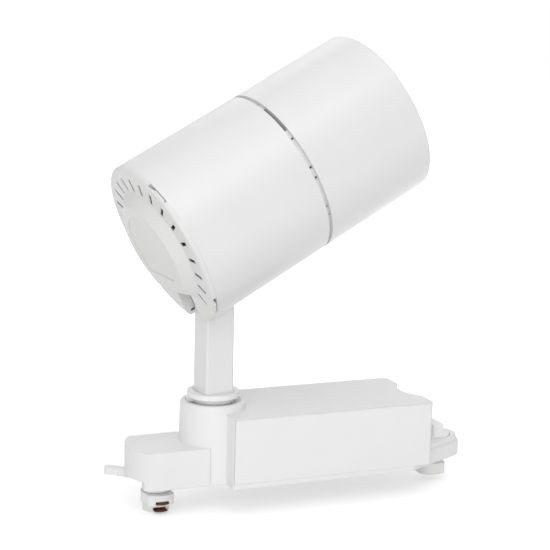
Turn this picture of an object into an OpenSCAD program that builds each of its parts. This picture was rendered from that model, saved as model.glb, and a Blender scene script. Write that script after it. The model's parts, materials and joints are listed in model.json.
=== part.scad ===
// Track spotlight: a track adapter with its driver, a swivel arm and a tilting cylindrical head.
// X runs along the adapter, -Y is its cover side, and +Z points away from the track.
// The origin is on the arm's swivel axis, in the face that lies against the track.

/* [Driver box] */
// From the swivel axis to the box's left end
box_start = 1.2; // [0:0.1:3]
// Length of the box
box_len = 114.2; // [100:0.1:140]
// Width of the box
box_w = 56; // [50:0.5:64]
// Height of the box above the track face
box_h = 37; // [32:0.5:40]
// Corner radius of the box in plan
box_r = 2; // [1:0.1:3]
// Radius of the driver box's back corners
box_back_r = 0.8; // [0.4:0.1:3]
// Wall of the box
box_wall = 2.2; // [1.6:0.1:3]
// Thickness of the side cover
cover_t = 2; // [1.4:0.1:3]
// Rim of housing left round the side cover
cover_rim = 0.6; // [0.4:0.1:1.2]
// Depth of the finger scallop in the box's right end
scallop_d = 5.4; // [2:0.1:6]
// Radius of the finger scallop
scallop_r = 21; // [16:0.1:30]

/* [Base and tongue] */
// Thickness of the base plate under the box
base_t = 2.6; // [2:0.1:3.4]
// Height of the tongue's outer wall
tongue_h = 7.7; // [6:0.1:8]
// From the box's right end to the tongue's tip
tongue_reach = 30.4; // [29.5:0.1:34]
// Radius of the tongue's nose
nose_r = 11.9; // [11.8:0.1:14]
// How far before the box's right end the taper starts
taper_back = 10.7; // [6:0.5:16]
// Height of the raised plate on the tongue
rim_h = 3.1; // [2.6:0.1:3.6]
// Ledge outside the raised plate
rim_inset = 1.5; // [0.6:0.1:1.8]
// Floor of the tongue under the lock knob
pocket_floor = 7.2; // [6.4:0.1:7.4]

/* [Contact block] */
// From the swivel axis to the contact block's right end
block_end = 7.6; // [6:0.1:8.5]
// Width of the contact block, which is the track's width
block_w = 35; // [33:0.1:37]
// Height of the contact block
block_h = 19.8; // [18:0.1:24]
// From the swivel axis to the contact block's end
block_reach = 46.5; // [45:0.1:52]
// Radius of the block's curved end in plan
block_end_r = 27; // [22:0.5:40]
// Radius of the block's back corner
block_back_r = 5; // [2:0.5:7]
// Radius of the block's front corner
block_front_r = 1.2; // [0.6:0.1:2]
// From the swivel axis to the contact rotor's axis
rotor_x = 30.7; // [29:0.1:32]
// Height of the recess that the lever swings in
lever_room = 4.5; // [4.3:0.1:6]
// Length of the raised underside at the block's free end
lever_relief = 4.2; // [3:0.1:5]
// Radius of the fixed stub under the block
stub_r = 7.2; // [6.8:0.1:7.6]
// Length of the fixed stub
stub_len = 4.6; // [3.6:0.1:5.4]

/* [Swivel boss] */
// Radius of the boss at its foot
boss_foot_r = 17.9; // [17.5:0.1:19]
// Radius of the boss at its top
boss_top_r = 17.1; // [16.8:0.1:17.4]
// Height of the boss above the track face
boss_h = 41; // [40:0.5:44]
// Round on the boss's top edge
boss_round = 1.5; // [0.6:0.1:2]
// Radius of the recess in the boss's top
recess_r = 14.4; // [14:0.1:14.8]
// Depth of the recess
recess_d = 1.4; // [1:0.1:2]
// Thickness of the web that carries the swivel
web_t = 6; // [4:0.1:8]
// Radius of the space inside the boss
boss_bore_r = 13.5; // [12.5:0.1:14.2]

/* [Swivel joint] */
// Radius of the collar's flange
flange_r = 13.6; // [12.6:0.1:13.9]
// Thickness of the flange
flange_t = 2.8; // [2:0.1:4]
// Radius of the collar's neck
neck_r = 10.8; // [9.5:0.1:11.2]
// Gap between the boss's top and the flange
neck_show = 2; // [1.6:0.1:3]
// Radius of the hollow spindle
spindle_r = 5; // [4.5:0.1:5.5]
// Radius of the wire way through the spindle
spindle_bore_r = 3.2; // [2.6:0.1:3.4]
// Height of the swivel nut
nut_h = 4; // [3:0.1:5]
// Radius of the swivel nut over its corners
nut_r = 9; // [8:0.1:10]
// Width of the stop rib and of the collar's lug
stop_w = 2; // [1.5:0.1:3]

/* [Arm] */
// Width of the arm, along the head's swing
arm_w = 15.7; // [14:0.1:16.4]
// Thickness of the arm, along the tilt axis
arm_d = 16.2; // [14:0.1:16.8]
// Chamfer on the arm's long edges
arm_edge = 1; // [0.4:0.1:2]
// Height of the tilt axis above the track face
pivot_z = 99.6; // [96:0.1:120]
// Radius of the wire way in the arm
arm_bore_r = 3.5; // [3.3:0.1:4]
// Swivel angle of the arm in the stored pose
pan_angle = 4.8; // [0:0.1:20]
// Tilt of the head above level in the stored pose
tilt_angle = 28; // [0:0.1:60]

/* [Head] */
// Radius of the head
head_r = 45; // [44:0.5:48]
// Wall of the two head housings
shell_t = 2.6; // [2:0.1:3]
// From the rear face to the gap between the housings
rear_len = 72.6; // [70:0.1:90]
// Width of the gap between the housings
gap_w = 2; // [1.5:0.1:3]
// Length of the front housing
front_len = 65; // [60:0.1:90]
// From the head's axis down to the tilt axis
pivot_drop = 35; // [34.5:0.1:35.5]
// From the rear face to the tilt axis
pivot_in = 16.4; // [16:0.1:18.5]
// Play on each side of the arm in the head's slot
slot_play = 0.8; // [0.5:0.05:1.2]

/* [Rear cap] */
// Visible height of the cap's rim
cap_rim = 2.4; // [2:0.1:4]
// Round on the cap's edge
cap_round = 2.3; // [1.6:0.1:2.3]
// Length of the cap's spigot inside the housing
spigot_len = 5.7; // [4:0.1:7]
// Radius of the raised centre at its foot
crown_foot_r = 31.4; // [30:0.1:31.6]
// From the head's axis to the straight cut across the raised centre's flat
crown_cut = 22; // [20:0.1:22]
// Radius of the raised centre's flat
crown_top_r = 25.8; // [22:0.1:26]
// Height of the raised centre
crown_h = 5.4; // [3:0.1:6]
// Radius of the bare label recess
label_r = 19.4; // [14:0.1:20]
// From the head's axis to the label recess's straight edge
label_cut = 14.4; // [10:0.1:16]
// Depth of the label recess
label_depth = 0.25; // [0.15:0.05:0.5]
// Inner radius of the ring of vents
vent_in_r = 32.2; // [31.5:0.1:33]
// Outer radius of the ring of vents
vent_out_r = 39.1; // [38:0.1:39.4]
// Width of one vent
vent_w = 2; // [1.4:0.1:2.6]
// Turn of the cap's vents, windows and label round the head
cap_turn = 3; // [0:0.5:4]
// Angle from one vent to the next
vent_pitch = 15; // [10:5:30]
// Angle kept free of vents on each side of the arm
vent_free = 45; // [30:15:60]
// Width of a snap window in the rim
snap_w = 13; // [8:0.5:14]

/* [Heat sink and light] */
// Number of radial fins
fin_count = 24; // [12:1:32]
// Thickness of one fin
fin_t = 1.6; // [1.2:0.1:2.2]
// From the tilt axis to the plate that ties the head to it
bracket_gap = 16.4; // [15.5:0.1:20]
// Radius of the heat sink's core
core_r = 13; // [10:0.5:15]
// Thickness of the heat sink's plate
sink_t = 7; // [4:0.5:8]
// Side of the light engine's board
led_side = 28; // [24:0.5:32]
// Thickness of the light engine's board
led_t = 1.6; // [1:0.1:2.4]
// Radius of the lit disc
led_disc_r = 10; // [6:0.5:10.5]
// Outer radius of the board's holder
holder_r = 24; // [23:0.5:28]
// Height of the board's holder
holder_h = 6; // [4:0.5:8]
// Inner radius of the reflector at the light engine
reflector_in_r = 11.5; // [11:0.1:14]
// Inner radius of the reflector at its mouth
reflector_out_r = 38; // [34:0.5:38]
// Wall of the reflector
reflector_t = 1; // [0.8:0.1:1.5]
// Thickness of the front glass
glass_t = 3; // [2:0.1:4]
// Height of the ring that holds the glass
lock_ring_h = 2.6; // [2:0.1:4]
// Width of that ring
lock_ring_w = 2.9; // [2:0.1:3.5]
// Depth of the free bore in front of the glass
mouth_depth = 5.4; // [4:0.1:12]
// Radius of that free bore, which takes accessories
mouth_r = 43; // [42.9:0.1:43.2]
// Chamfer on the front rim
mouth_edge = 0.6; // [0.3:0.1:1]

/* [Vent ring] */
// How far the ring in the gap lies below the head's surface
band_in = 1.8; // [1:0.1:2.2]
// Number of snap tabs round the ring
tab_count = 12; // [6:1:16]
// Angle of the first tab from the arm's side
tab_turn = 22; // [0:1:59]
// Half the angle that one tab takes
tab_half = 3.8; // [2:0.1:6]
// Width of the slits beside each tab
slit_w = 1; // [0.6:0.1:1.4]
// Width of the two long windows
window_w = 16; // [10:0.5:17]

/* [Contact rotor and lever] */
// Half width of the rotor's wing
wing_half = 7; // [6:0.1:7.2]
// Radius of the wing's curved front
wing_r = 10.9; // [10:0.1:12]
// Height of the wing
wing_h = 5.6; // [5:0.1:7]
// Radius of the rotor's lower part
rotor_r = 6.8; // [6:0.1:7]
// Height of the rotor's lower part
rotor_foot_h = 4.2; // [3.5:0.1:5]
// Reach of the contacts from the rotor's axis
contact_reach = 12; // [11.5:0.1:13]
// Width of one contact
contact_w = 6.9; // [5:0.1:8]
// Height of one contact
contact_h = 1.7; // [1.2:0.1:2]
// From the wing's underside up to the upper contact
upper_contact = 0.6; // [0.3:0.1:3]
// From the rotor's end up to the lower contact
lower_contact = 0.7; // [0.4:0.1:2]
// Length of the lever from the rotor's axis
lever_len = 29.3; // [26:0.1:33]
// Width of the lever
lever_w = 5.8; // [5:0.1:6]
// Thickness of the lever
lever_t = 3.7; // [3:0.1:3.8]
// Lever's angle from the adapter's long axis in the stored pose
lever_angle = 43; // [38:1:43]

/* [Lock] */
// From the box's right end to the lock's axis
lock_reach = 14.4; // [14:0.1:14.8]
// Radius of the knob's disc
knob_r = 10.4; // [9.5:0.1:10.5]
// Thickness of the knob's disc
knob_disc_t = 3.6; // [3:0.1:4.2]
// Length of the knob's grip
grip_len = 18.8; // [16:0.1:19]
// Thickness of the knob's grip
grip_t = 6.4; // [5:0.1:7]
// Height of the grip above the disc
grip_h = 7; // [6:0.1:9]
// Corner radius of the grip in plan
grip_r = 1.2; // [0.4:0.1:2.8]
// Radius of the lock's shaft
shaft_r = 4; // [3:0.1:4.6]
// Gap between the track face and the foot, which takes the track's lip
lip_t = 4.8; // [3:0.1:5.2]
// Height of the lock foot
foot_h = 6.5; // [5.5:0.1:7]
// From the lock's axis to the foot's outermost corner
foot_reach = 8.6; // [8:0.1:9]
// Half length of the lock foot
foot_end = 7.2; // [6.8:0.1:7.6]
// Radius of the lock foot's two rounded corners
foot_round = 6.4; // [3:0.1:6.6]
// Half width of the lock foot
foot_half = 6.8; // [6:0.1:7]

/* [Driver] */
// From the board's right end to the transformer's middle
core_at = 24; // [20:1:28]
// Length of the transformer along the board
core_l = 22; // [16:0.5:26]
// Width of the transformer
core_w = 24; // [18:0.5:28]
// Height of the transformer
core_h = 19; // [12:0.5:22]
// Radius of the larger capacitor
can_r = 6.5; // [5:0.5:7.5]
// Height of the larger capacitor
can_len = 20; // [12:0.5:22]
// Gap between the choke and the transformer
choke_gap = 5; // [0.5:0.1:7]
// Radius and height of the choke
choke_r = 7; // [5:0.5:7.5]

/* [Fits] */
// Running clearance of shafts and spindles
run_fit = 0.05; // [0.02:0.01:0.09]
// Seam between fixed pieces
seam = 0.1; // [0.05:0.01:0.2]
// Gap between pieces that pass each other
pass_gap = 0.3; // [0.3:0.05:0.5]

/* [Hidden] */
$fn = 96;

over = 1;              // how far a cutting tool runs past a face
box_end = box_start + box_len;
lock_x = box_end + lock_reach;
nose_x = box_end + tongue_reach - nose_r;
taper_x = box_end - taper_back;
box_in = box_w / 2 - box_wall;                 // half width inside the box
recess_z = boss_h - recess_d;                  // floor of the boss's recess
web_z = recess_z - web_t;                      // underside of the web
washer_t = 0.8;                                // both thrust washers
flange_z = boss_h + neck_show;                 // underside of the flange
arm_z = flange_z + flange_t;                   // foot of the arm
nut_z = web_z - pass_gap - washer_t - nut_h;   // underside of the swivel nut
bite = 0.02;                                   // overlap where two outlines meet at a tangent
bead = 1.4;                                    // thin ribs and rims
screw_r = 1.5;                                 // all M3 fasteners
screw_head_r = 2.8;
screw_head_h = 1.7;
screw_len = 12;
post_r = 3.4;                                  // screw posts inside the box
post_in = 7;                                   // from a post's axis to the box's faces
post_gap = 0.7;                                // from the boss to the first pair of posts
post_x = [boss_foot_r + post_in + post_gap, box_end - 2 * post_in];
standoff_r = 2.6;                              // supports of the driver's board
standoff_in = 5;
wire_w = 6;                                    // wire ways inside the adapter
board_z = base_t + 5;                          // underside of the driver board
board_t = 1.6;
board_x0 = boss_foot_r + 6;
room_x1 = taper_x - 0.5;                       // right end of the room in the box
board_len = room_x1 - 1 - board_x0;
board_gap = 8;                                 // from the board's long edges to the box's walls
board_w = 2 * (box_in - board_gap);
core_x = board_x0 + board_len - core_at;       // the transformer's middle
choke_x = core_x - core_l / 2 - choke_gap - choke_r;
cover_x0 = box_start + cover_rim;
cover_x1 = box_end - cover_rim;
cover_z1 = box_h - cover_rim;
stop_angle = -12;                              // where the stop rib shows beside the neck
wing_back = 3.8;                               // how far the wing runs behind its axis
rotor_disc_r = 7.9;
journal_r = 3.4;                               // rotor's upper journal
stub_bore_r = 5;                               // rotor's lower journal
lever_z = 0.5;                                 // lever's underside
lever_hub_r = 5.7;
chamber_z = 11;                                // chamber above the rotor's bearing
chamber_r = 8.2;
chamber_h = block_h - box_wall - chamber_z;
clip_t = 0.8;
clip_r = 6;
knob_z = pocket_floor + pass_gap;              // underside of the knob's disc
well_gap = 0.4;                                // round the knob's disc
shell_in_r = head_r - shell_t;                 // bore of both housings
front_z = rear_len + gap_w;                    // rear end of the front housing
mouth_z = front_z + front_len;                 // front rim of the head
sink_in = 3.4;                                 // from the rear housing's front end to the heat sink
sink_z = rear_len - sink_in;                   // front face of the heat sink
holder_z = sink_z + holder_h;                  // front of the light engine's holder
ring_z = mouth_z - mouth_depth - lock_ring_h;  // rear face of the ring that holds the glass
glass_z = ring_z - glass_t;                    // rear face of the glass
ledge_t = 2;
ledge_z = glass_z - ledge_t;                   // rear face of the ledge under the glass
slot_half = arm_d / 2 + slot_play;
slope_wall = 3;                                // the crown's sloped side, along X
snap_d = 1.2;                                  // depth of the snap windows
snap_slot = 0.9;                               // slot between a window's tab and the housing
snap_hole = 2.5;                               // width of the latch hole in a window
snap_angle = [52, 143, 217, 308];             // before the cap's turn
wall_in = 2;                                   // wall of the cap's and the vent ring's spigots
slot_in = pivot_drop - arm_w / 2 - slot_play;        // inner end of the slot in the cap
slot_front = pivot_in + arm_w / 2 + slot_play;       // front end of the slot in the housing
tilt_washer_t = 0.6;
ear_in = arm_d / 2 + pass_gap + tilt_washer_t; // inner face of the bracket's ears
ear_t = 2;
ear_r = 5.6;
bracket_t = 2;
bracket_z = pivot_in + bracket_gap;            // rear face of the bracket's plate
fin_z = bracket_z + bracket_t;                 // rear end of the fins
bracket_y = ear_in + ear_t;                    // outer face of the bracket's ears
pad_x0 = 16;
pad_x1 = pivot_drop + 5;
bracket_screw_x = [pad_x0 + 6, pad_x1 - 6];
bolt_head_r = 4;
bolt_head_h = 2.6;
tilt_nut_r = 4.4;
tilt_nut_h = 3;
foot_socket = 8;                               // how far the spindle reaches into the arm
bush_h = 4;
wire_r = 1.1;
wire_x = 1.4;                                  // from the arm's axis to each wire
wire_out_z = pivot_z - 12;                     // where the wires leave the arm
tilt_bolt_r = 2.5;

// ---- outlines ----

// What rounding takes off the corner at [0, 0] of an outline that fills the first quadrant.
module corner_cut(r) {
    difference() {
        translate([-over, -over]) square(r + over);
        translate([r, r]) circle(r);
    }
}

// A rectangle with rounded corners, r0 at low y and r1 at high y.
module rounded(x0, x1, y0, y1, r0, r1) {
    difference() {
        translate([x0, y0]) square([x1 - x0, y1 - y0]);
        translate([x0, y0]) corner_cut(r0);
        translate([x1, y0]) mirror([1, 0]) corner_cut(r0);
        translate([x0, y1]) mirror([0, 1]) corner_cut(r1);
        translate([x1, y1]) mirror([0, 1]) mirror([1, 0]) corner_cut(r1);
    }
}

// Outline from x0 to the tongue's tip, drawn in by inset all round the taper and the nose.
module tongue_outline(inset, x0) {
    dx = taper_x - nose_x;
    reach = sqrt(dx * dx + box_w * box_w / 4);
    lean = atan2(box_w / 2, dx) - acos(nose_r / reach);
    n = [cos(lean), sin(lean)];
    r = nose_r - inset;
    corner = [taper_x, box_w / 2] - inset * n;
    tangent = [nose_x, 0] + (r - bite) * n;
    along = tangent - corner;
    start = corner + along * max(0, (x0 - corner[0]) / along[0]);
    translate([nose_x, 0]) circle(r);
    polygon([[x0, -start[1]], [start[0], -start[1]], [tangent[0], -tangent[1]],
        tangent, start, [x0, start[1]]]);
}

// Outline of the contact block: an arc at the free end, rounded corners.
module block_outline() {
    intersection() {
        translate([-block_reach, -block_w]) square([block_reach - block_end, 2 * block_w]);
        rounded(-block_reach, box_start, -block_w / 2, block_w / 2, block_front_r, block_back_r);
        translate([block_end_r - block_reach, 0]) circle(block_end_r);
    }
}

// A quarter turn of points for a rounded edge at [r, z], from pointing out to pointing up.
function edge_arc(r, z, round) =
    [for (a = [0 : 15 : 90]) [r - round + round * cos(a), z - round + round * sin(a)]];

// ---- places ----

module at_arm() { rotate(pan_angle) children(); }

// Head frame: Z runs along the head from its rear face to the light, X points at the arm's side.
module at_head() {
    at_arm() translate([0, 0, pivot_z]) rotate([0, -tilt_angle, 0])
        translate([-pivot_in, 0, pivot_drop]) rotate([0, 90, 0]) children();
}

// Tilt axis in the head's frame, with Z along it towards the bolt's head.
module at_pivot() { translate([pivot_drop, 0, pivot_in]) rotate([90, 0, 0]) children(); }

module at_rotor() { translate([-rotor_x, 0, 0]) children(); }

module at_lock() { translate([lock_x, 0, 0]) children(); }

module at_posts() {
    for (x = post_x, s = [-1, 1]) translate([x, s * (box_w / 2 - post_in), 0]) children();
}

// ---- adapter ----

module boss_form() {
    rotate_extrude() polygon(concat([[0, 0], [boss_foot_r, 0]],
        edge_arc(boss_top_r, boss_h, boss_round), [[0, boss_h]]));
}

module box_form() {
    difference() {
        translate([0, 0, base_t]) linear_extrude(box_h - base_t)
            rounded(box_start, box_end, -box_w / 2, box_w / 2, box_r, box_back_r);
        translate([box_end - scallop_d + scallop_r, 0, base_t - over])
            cylinder(r = scallop_r, h = box_h + 2 * over);
    }
}

// Everything the side cover closes: the cover's rebate and the room for the driver.
module box_room() {
    translate([cover_x0 - seam, -box_w / 2 - over, base_t - over])
        cube([cover_x1 - cover_x0 + 2 * seam, cover_t + over, cover_z1 + seam - base_t + over]);
    difference() {
        translate([box_start + box_wall, -box_w / 2 + cover_t - over / 2, base_t - over])
            cube([room_x1 - box_start - box_wall, box_w - cover_t - box_wall + over / 2,
                box_h - box_wall - base_t + over]);
        cylinder(r = boss_top_r, h = box_h);
        at_posts() cylinder(r = post_r, h = box_h);
    }
}

// The sector under the block that the lever sweeps.
module lever_room_form() {
    play = lever_w / 2 + pass_gap;
    at_rotor() translate([0, 0, -seam]) linear_extrude(lever_room + seam) {
        circle(lever_hub_r + pass_gap);
        for (s = [-1, 1]) rotate(180 + s * lever_angle) translate([0, -play]) square([lever_len, 2 * play]);
        polygon([[0, 0], for (s = [-1, 0, 1]) lever_len * [-cos(s * lever_angle), -sin(s * lever_angle)]]);
    }
    edge = block_reach - lever_relief;
    translate([-block_reach - over, -block_w, -over])
        cube([block_reach - edge + over, 2 * block_w, lever_room + over]);
}

module adapter_housing() {
    color("white") difference() {
        union() {
            linear_extrude(block_h) block_outline();
            boss_form();
            box_form();
            at_rotor() translate([0, 0, -stub_len]) cylinder(r = stub_r, h = stub_len + over);
        }
        box_room();
        // the base plate's seat, under the box and inside the boss
        translate([box_start, -box_w, -over]) cube([box_len + over, 2 * box_w, base_t + over]);
        translate([0, 0, -over]) cylinder(r = boss_bore_r, h = web_z + over);
        // the swivel's bearing, its recess and the stop rib that stays in it
        cylinder(r = spindle_r + run_fit, h = boss_h + over);
        difference() {
            translate([0, 0, recess_z]) cylinder(r = recess_r, h = recess_d + over);
            rotate(stop_angle) translate([neck_r + 2 * pass_gap, -stop_w / 2, 0])
                cube([recess_r, stop_w, boss_h]);
        }
        // rotor bearing, the chamber above it and the wire way to the box
        at_rotor() {
            translate([0, 0, -stub_len - over])
                cylinder(r = stub_bore_r + run_fit, h = stub_len + over + lever_z);
            cylinder(r = journal_r + run_fit, h = chamber_z + over);
            translate([0, 0, chamber_z]) cylinder(r = chamber_r, h = chamber_h);
            translate([0, -wire_w / 2, chamber_z]) cube([rotor_x, wire_w, chamber_h]);
        }
        translate([0, -wire_w / 2, board_z]) cube([board_x0, wire_w, web_z - board_z - wire_w]);
        lever_room_form();
        at_posts() translate([0, 0, base_t - over]) cylinder(r = screw_r, h = screw_len - base_t + over);
    }
}

module side_cover() {
    color("white") translate([0, -box_w / 2, 0]) difference() {
        translate([cover_x0, 0, base_t]) cube([cover_x1 - cover_x0, cover_t, cover_z1 - base_t]);
        // its right corner follows the box's
        translate([box_end - box_r, box_r, base_t - over]) difference() {
            translate([0, -box_r - over, 0]) cube([box_r + over, box_r + over, box_h]);
            cylinder(r = box_r, h = box_h);
        }
    }
}

module base_plate() {
    color("white") difference() {
        union() {
            linear_extrude(base_t) {
                difference() {
                    tongue_outline(0, box_start);
                    translate([box_start, -box_w / 2]) corner_cut(box_r);
                    translate([box_start, box_w / 2]) mirror([0, 1]) corner_cut(box_back_r);
                }
                circle(boss_bore_r - seam);
            }
            linear_extrude(tongue_h) {
                tongue_outline(0, box_end);
                // the tongue runs on into the hollow in the box's end
                intersection() {
                    tongue_outline(0, box_end - scallop_d);
                    translate([box_end - scallop_d + scallop_r + seam, 0]) circle(scallop_r);
                }
            }
            translate([0, 0, tongue_h - over / 2]) linear_extrude(rim_h + over / 2)
                tongue_outline(rim_inset, box_end + seam);
            for (x = [board_x0 + standoff_in, board_x0 + board_len - standoff_in], s = [-1, 1])
                translate([x, s * (board_w / 2 - standoff_in), 0]) cylinder(r = standoff_r, h = board_z);
        }
        // well for the lock knob's disc
        at_lock() translate([0, 0, pocket_floor]) cylinder(r = knob_r + well_gap, h = rim_h + tongue_h);
        at_lock() translate([0, 0, -over]) cylinder(r = shaft_r + run_fit, h = tongue_h + 2 * over);
        at_posts() {
            translate([0, 0, -over]) cylinder(r = screw_r + seam, h = base_t + 2 * over);
            translate([0, 0, -over]) cylinder(r = screw_head_r + seam, h = screw_head_h + over);
        }
    }
}

// A cross-head screw pointing up, its head's face at z = 0.
module screw_form() {
    cross_w = 0.7;
    difference() {
        union() {
            cylinder(r = screw_head_r, h = screw_head_h);
            cylinder(r = screw_r, h = screw_len - over);
        }
        for (a = [0, 90]) rotate(a) translate([-screw_r, -cross_w / 2, -over])
            cube([2 * screw_r, cross_w, over + screw_head_h / 2]);
    }
}

module base_screws() { color("silver") at_posts() screw_form(); }

module driver_board() {
    color("darkgreen") difference() {
        translate([board_x0, -board_w / 2, board_z]) cube([board_len, board_w, board_t]);
        at_posts() translate([0, 0, board_z - over]) cylinder(r = post_r + pass_gap, h = 4);
    }
}

module driver_transformer() {
    yoke = 3.5;
    coil_r = core_w / 2 - yoke;
    color("dimgrey") translate([core_x, 0, board_z + board_t]) {
        difference() {
            translate([-core_l / 2, -core_w / 2, 0]) cube([core_l, core_w, core_h]);
            translate([-core_l, -coil_r, yoke]) cube([2 * core_l, 2 * coil_r, core_h - 2 * yoke]);
        }
        // the winding on its middle leg
        translate([0, 0, yoke - bite]) cylinder(r = coil_r - pass_gap, h = core_h - 2 * (yoke - bite));
    }
}

module driver_capacitors() {
    color("midnightblue") translate([board_x0 + can_r + wire_w, can_r, board_z + board_t]) {
        cylinder(r = can_r, h = can_len);
        translate([2 * can_r + bead, 0, 0]) cylinder(r = can_r - bead, h = can_len - bead);
    }
}

module driver_choke() {
    color("darkorange") translate([choke_x, -choke_r - bead, board_z + board_t]) difference() {
        cylinder(r = choke_r, h = choke_r);
        translate([0, 0, bead]) cylinder(r = choke_r / 3, h = choke_r);
    }
}

module thrust_washer() {
    color("lightgrey") translate([0, 0, recess_z]) difference() {
        cylinder(r = neck_r - over - pass_gap, h = washer_t);
        translate([0, 0, -over]) cylinder(r = spindle_r + pass_gap, h = washer_t + 2 * over);
    }
}

// ---- contact rotor, lever and contacts ----

module contacts_form(play) {
    y0 = journal_r + over;
    wing_z = -stub_len - pass_gap - wing_h;
    for (z = [wing_z + upper_contact, wing_z - rotor_foot_h + lower_contact])
        translate([-rotor_x, 0, z - play]) intersection() {
            cylinder(r = contact_reach, h = contact_h + 2 * play);
            translate([-contact_w / 2 - play, -contact_reach - over, 0])
                cube([contact_w + 2 * play, contact_reach + over - y0 + play, contact_h + 2 * play]);
        }
}

module contact_rotor() {
    top_z = -stub_len - pass_gap;
    color("lightgrey") difference() {
        at_rotor() {
            translate([0, 0, top_z - wing_h]) linear_extrude(wing_h) {
                circle(rotor_disc_r);
                intersection() {
                    translate([-wing_half, -wing_r]) square([2 * wing_half, wing_r + wing_back]);
                    circle(wing_r);
                }
            }
            translate([0, 0, top_z - wing_h - rotor_foot_h]) cylinder(r = rotor_r, h = rotor_foot_h + over);
            translate([0, 0, top_z - over]) cylinder(r = stub_bore_r, h = lever_z - top_z + over);
            cylinder(r = journal_r, h = chamber_z + pass_gap + clip_t + over);
        }
        contacts_form(bite);
    }
}

module contact_lever() {
    rib_r = 0.35;
    rib_pitch = 1.3;
    ribs = 9;
    color("lightgrey") at_rotor() translate([0, 0, lever_z]) rotate(180 - lever_angle) difference() {
        linear_extrude(lever_t) {
            circle(lever_hub_r);
            translate([0, -lever_w / 2]) square([lever_len - lever_w / 2, lever_w]);
            translate([lever_len - lever_w / 2, 0]) circle(lever_w / 2);
        }
        translate([0, 0, -over]) cylinder(r = journal_r + bite, h = lever_t + 2 * over);
        // finger ribs along both edges
        for (i = [0 : ribs - 1], s = [-1, 1])
            translate([lever_len - lever_w - i * rib_pitch, s * lever_w / 2, -over])
                cylinder(r = rib_r, h = lever_t + 2 * over, $fn = 16);
    }
}

module contact_blades() { color("peru") contacts_form(0); }

module rotor_clip() {
    color("silver") at_rotor() translate([0, 0, chamber_z + pass_gap]) difference() {
        cylinder(r = clip_r, h = clip_t);
        translate([0, 0, -over]) cylinder(r = journal_r + bite, h = clip_t + 2 * over);
    }
}

// ---- lock ----

module lock_knob() {
    color("gainsboro") at_lock() difference() {
        union() {
            translate([0, 0, -lip_t]) cylinder(r = shaft_r, h = knob_z + lip_t + over);
            translate([0, 0, knob_z]) cylinder(r = knob_r, h = knob_disc_t);
            translate([0, 0, knob_z + knob_disc_t - bite]) linear_extrude(grip_h + bite)
                rounded(-grip_t / 2, grip_t / 2, -grip_len / 2, grip_len / 2, grip_r, grip_r);
        }
        translate([0, 0, -lip_t - over]) cylinder(r = screw_r, h = screw_len - foot_h + over);
    }
}

// The foot turns in under the track's lip over its two rounded corners.
module foot_outline(grow) {
    a = foot_end + grow;
    b = foot_half + grow;
    intersection() {
        circle(foot_reach + grow);
        difference() {
            square([2 * a, 2 * b], center = true);
            for (turn = [0, 180]) rotate(turn) translate([-a, -b]) corner_cut(foot_round + grow);
        }
    }
}

module lock_foot() {
    lead = 0.7;
    color("gainsboro") at_lock() difference() {
        union() {
            translate([0, 0, lead - lip_t - foot_h]) linear_extrude(foot_h - lead) foot_outline(0);
            translate([0, 0, -lip_t - foot_h]) linear_extrude(lead + bite) foot_outline(-lead);
        }
        translate([0, 0, -lip_t - foot_h - over]) {
            cylinder(r = screw_r, h = foot_h + 2 * over);
            cylinder(r = screw_head_r + seam, h = pass_gap + screw_head_h + over);
        }
    }
}

module lock_screw() { color("silver") at_lock() translate([0, 0, pass_gap - lip_t - foot_h]) screw_form(); }

// ---- swivel ----

module swivel_collar() {
    color("white") at_arm() difference() {
        union() {
            translate([0, 0, flange_z]) cylinder(r = flange_r, h = flange_t);
            translate([0, 0, recess_z + washer_t + pass_gap])
                cylinder(r = neck_r, h = flange_z + over - recess_z - washer_t - pass_gap);
            // the lug that meets the stop rib at each end of the swivel
            rotate(180 + stop_angle - pan_angle) translate([neck_r - over, -stop_w / 2, recess_z + pass_gap])
                cube([recess_r - neck_r + over - pass_gap, stop_w, flange_z - recess_z]);
        }
        cylinder(r = spindle_r, h = arm_z + over);
        cylinder(r = spindle_r + pass_gap, h = flange_z - neck_show);
    }
}

module swivel_spindle() {
    z0 = nut_z - 2;
    z1 = arm_z + foot_socket;
    color("silver") at_arm() difference() {
        translate([0, 0, z0]) cylinder(r = spindle_r, h = z1 - z0);
        translate([0, 0, z0 - over]) cylinder(r = spindle_bore_r, h = z1 - z0 + 2 * over);
    }
}

module swivel_washer() {
    color("silver") at_arm() translate([0, 0, nut_z + nut_h]) difference() {
        cylinder(r = nut_r, h = washer_t);
        translate([0, 0, -over]) cylinder(r = spindle_r, h = washer_t + 2 * over);
    }
}

module swivel_nut() {
    color("silver") at_arm() translate([0, 0, nut_z]) difference() {
        cylinder(r = nut_r, h = nut_h, $fn = 6);
        translate([0, 0, -over]) cylinder(r = spindle_r, h = nut_h + 2 * over);
    }
}

// ---- arm ----

module arm_section() {
    intersection() {
        square([arm_w, arm_d], center = true);
        rotate(45) square((arm_w + arm_d) / sqrt(2) - arm_edge * sqrt(2), center = true);
    }
}

module arm_post() {
    exit_z = pivot_z - 6;
    color("white") at_arm() difference() {
        union() {
            translate([0, 0, arm_z]) linear_extrude(pivot_z - arm_z) arm_section();
            translate([0, 0, pivot_z]) rotate([90, 0, 0]) rotate_extrude() intersection() {
                arm_section();
                translate([0, -arm_d]) square([arm_w, 2 * arm_d]);
            }
        }
        translate([0, 0, arm_z - over]) cylinder(r = spindle_r, h = foot_socket + over);
        cylinder(r = arm_bore_r, h = exit_z);
        translate([0, 0, exit_z - arm_bore_r]) rotate([0, 90, 0]) cylinder(r = arm_bore_r - 0.5, h = arm_w);
        translate([0, 0, pivot_z]) rotate([90, 0, 0])
            cylinder(r = tilt_bolt_r + run_fit, h = arm_d + 2 * over, center = true);
    }
}

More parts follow.
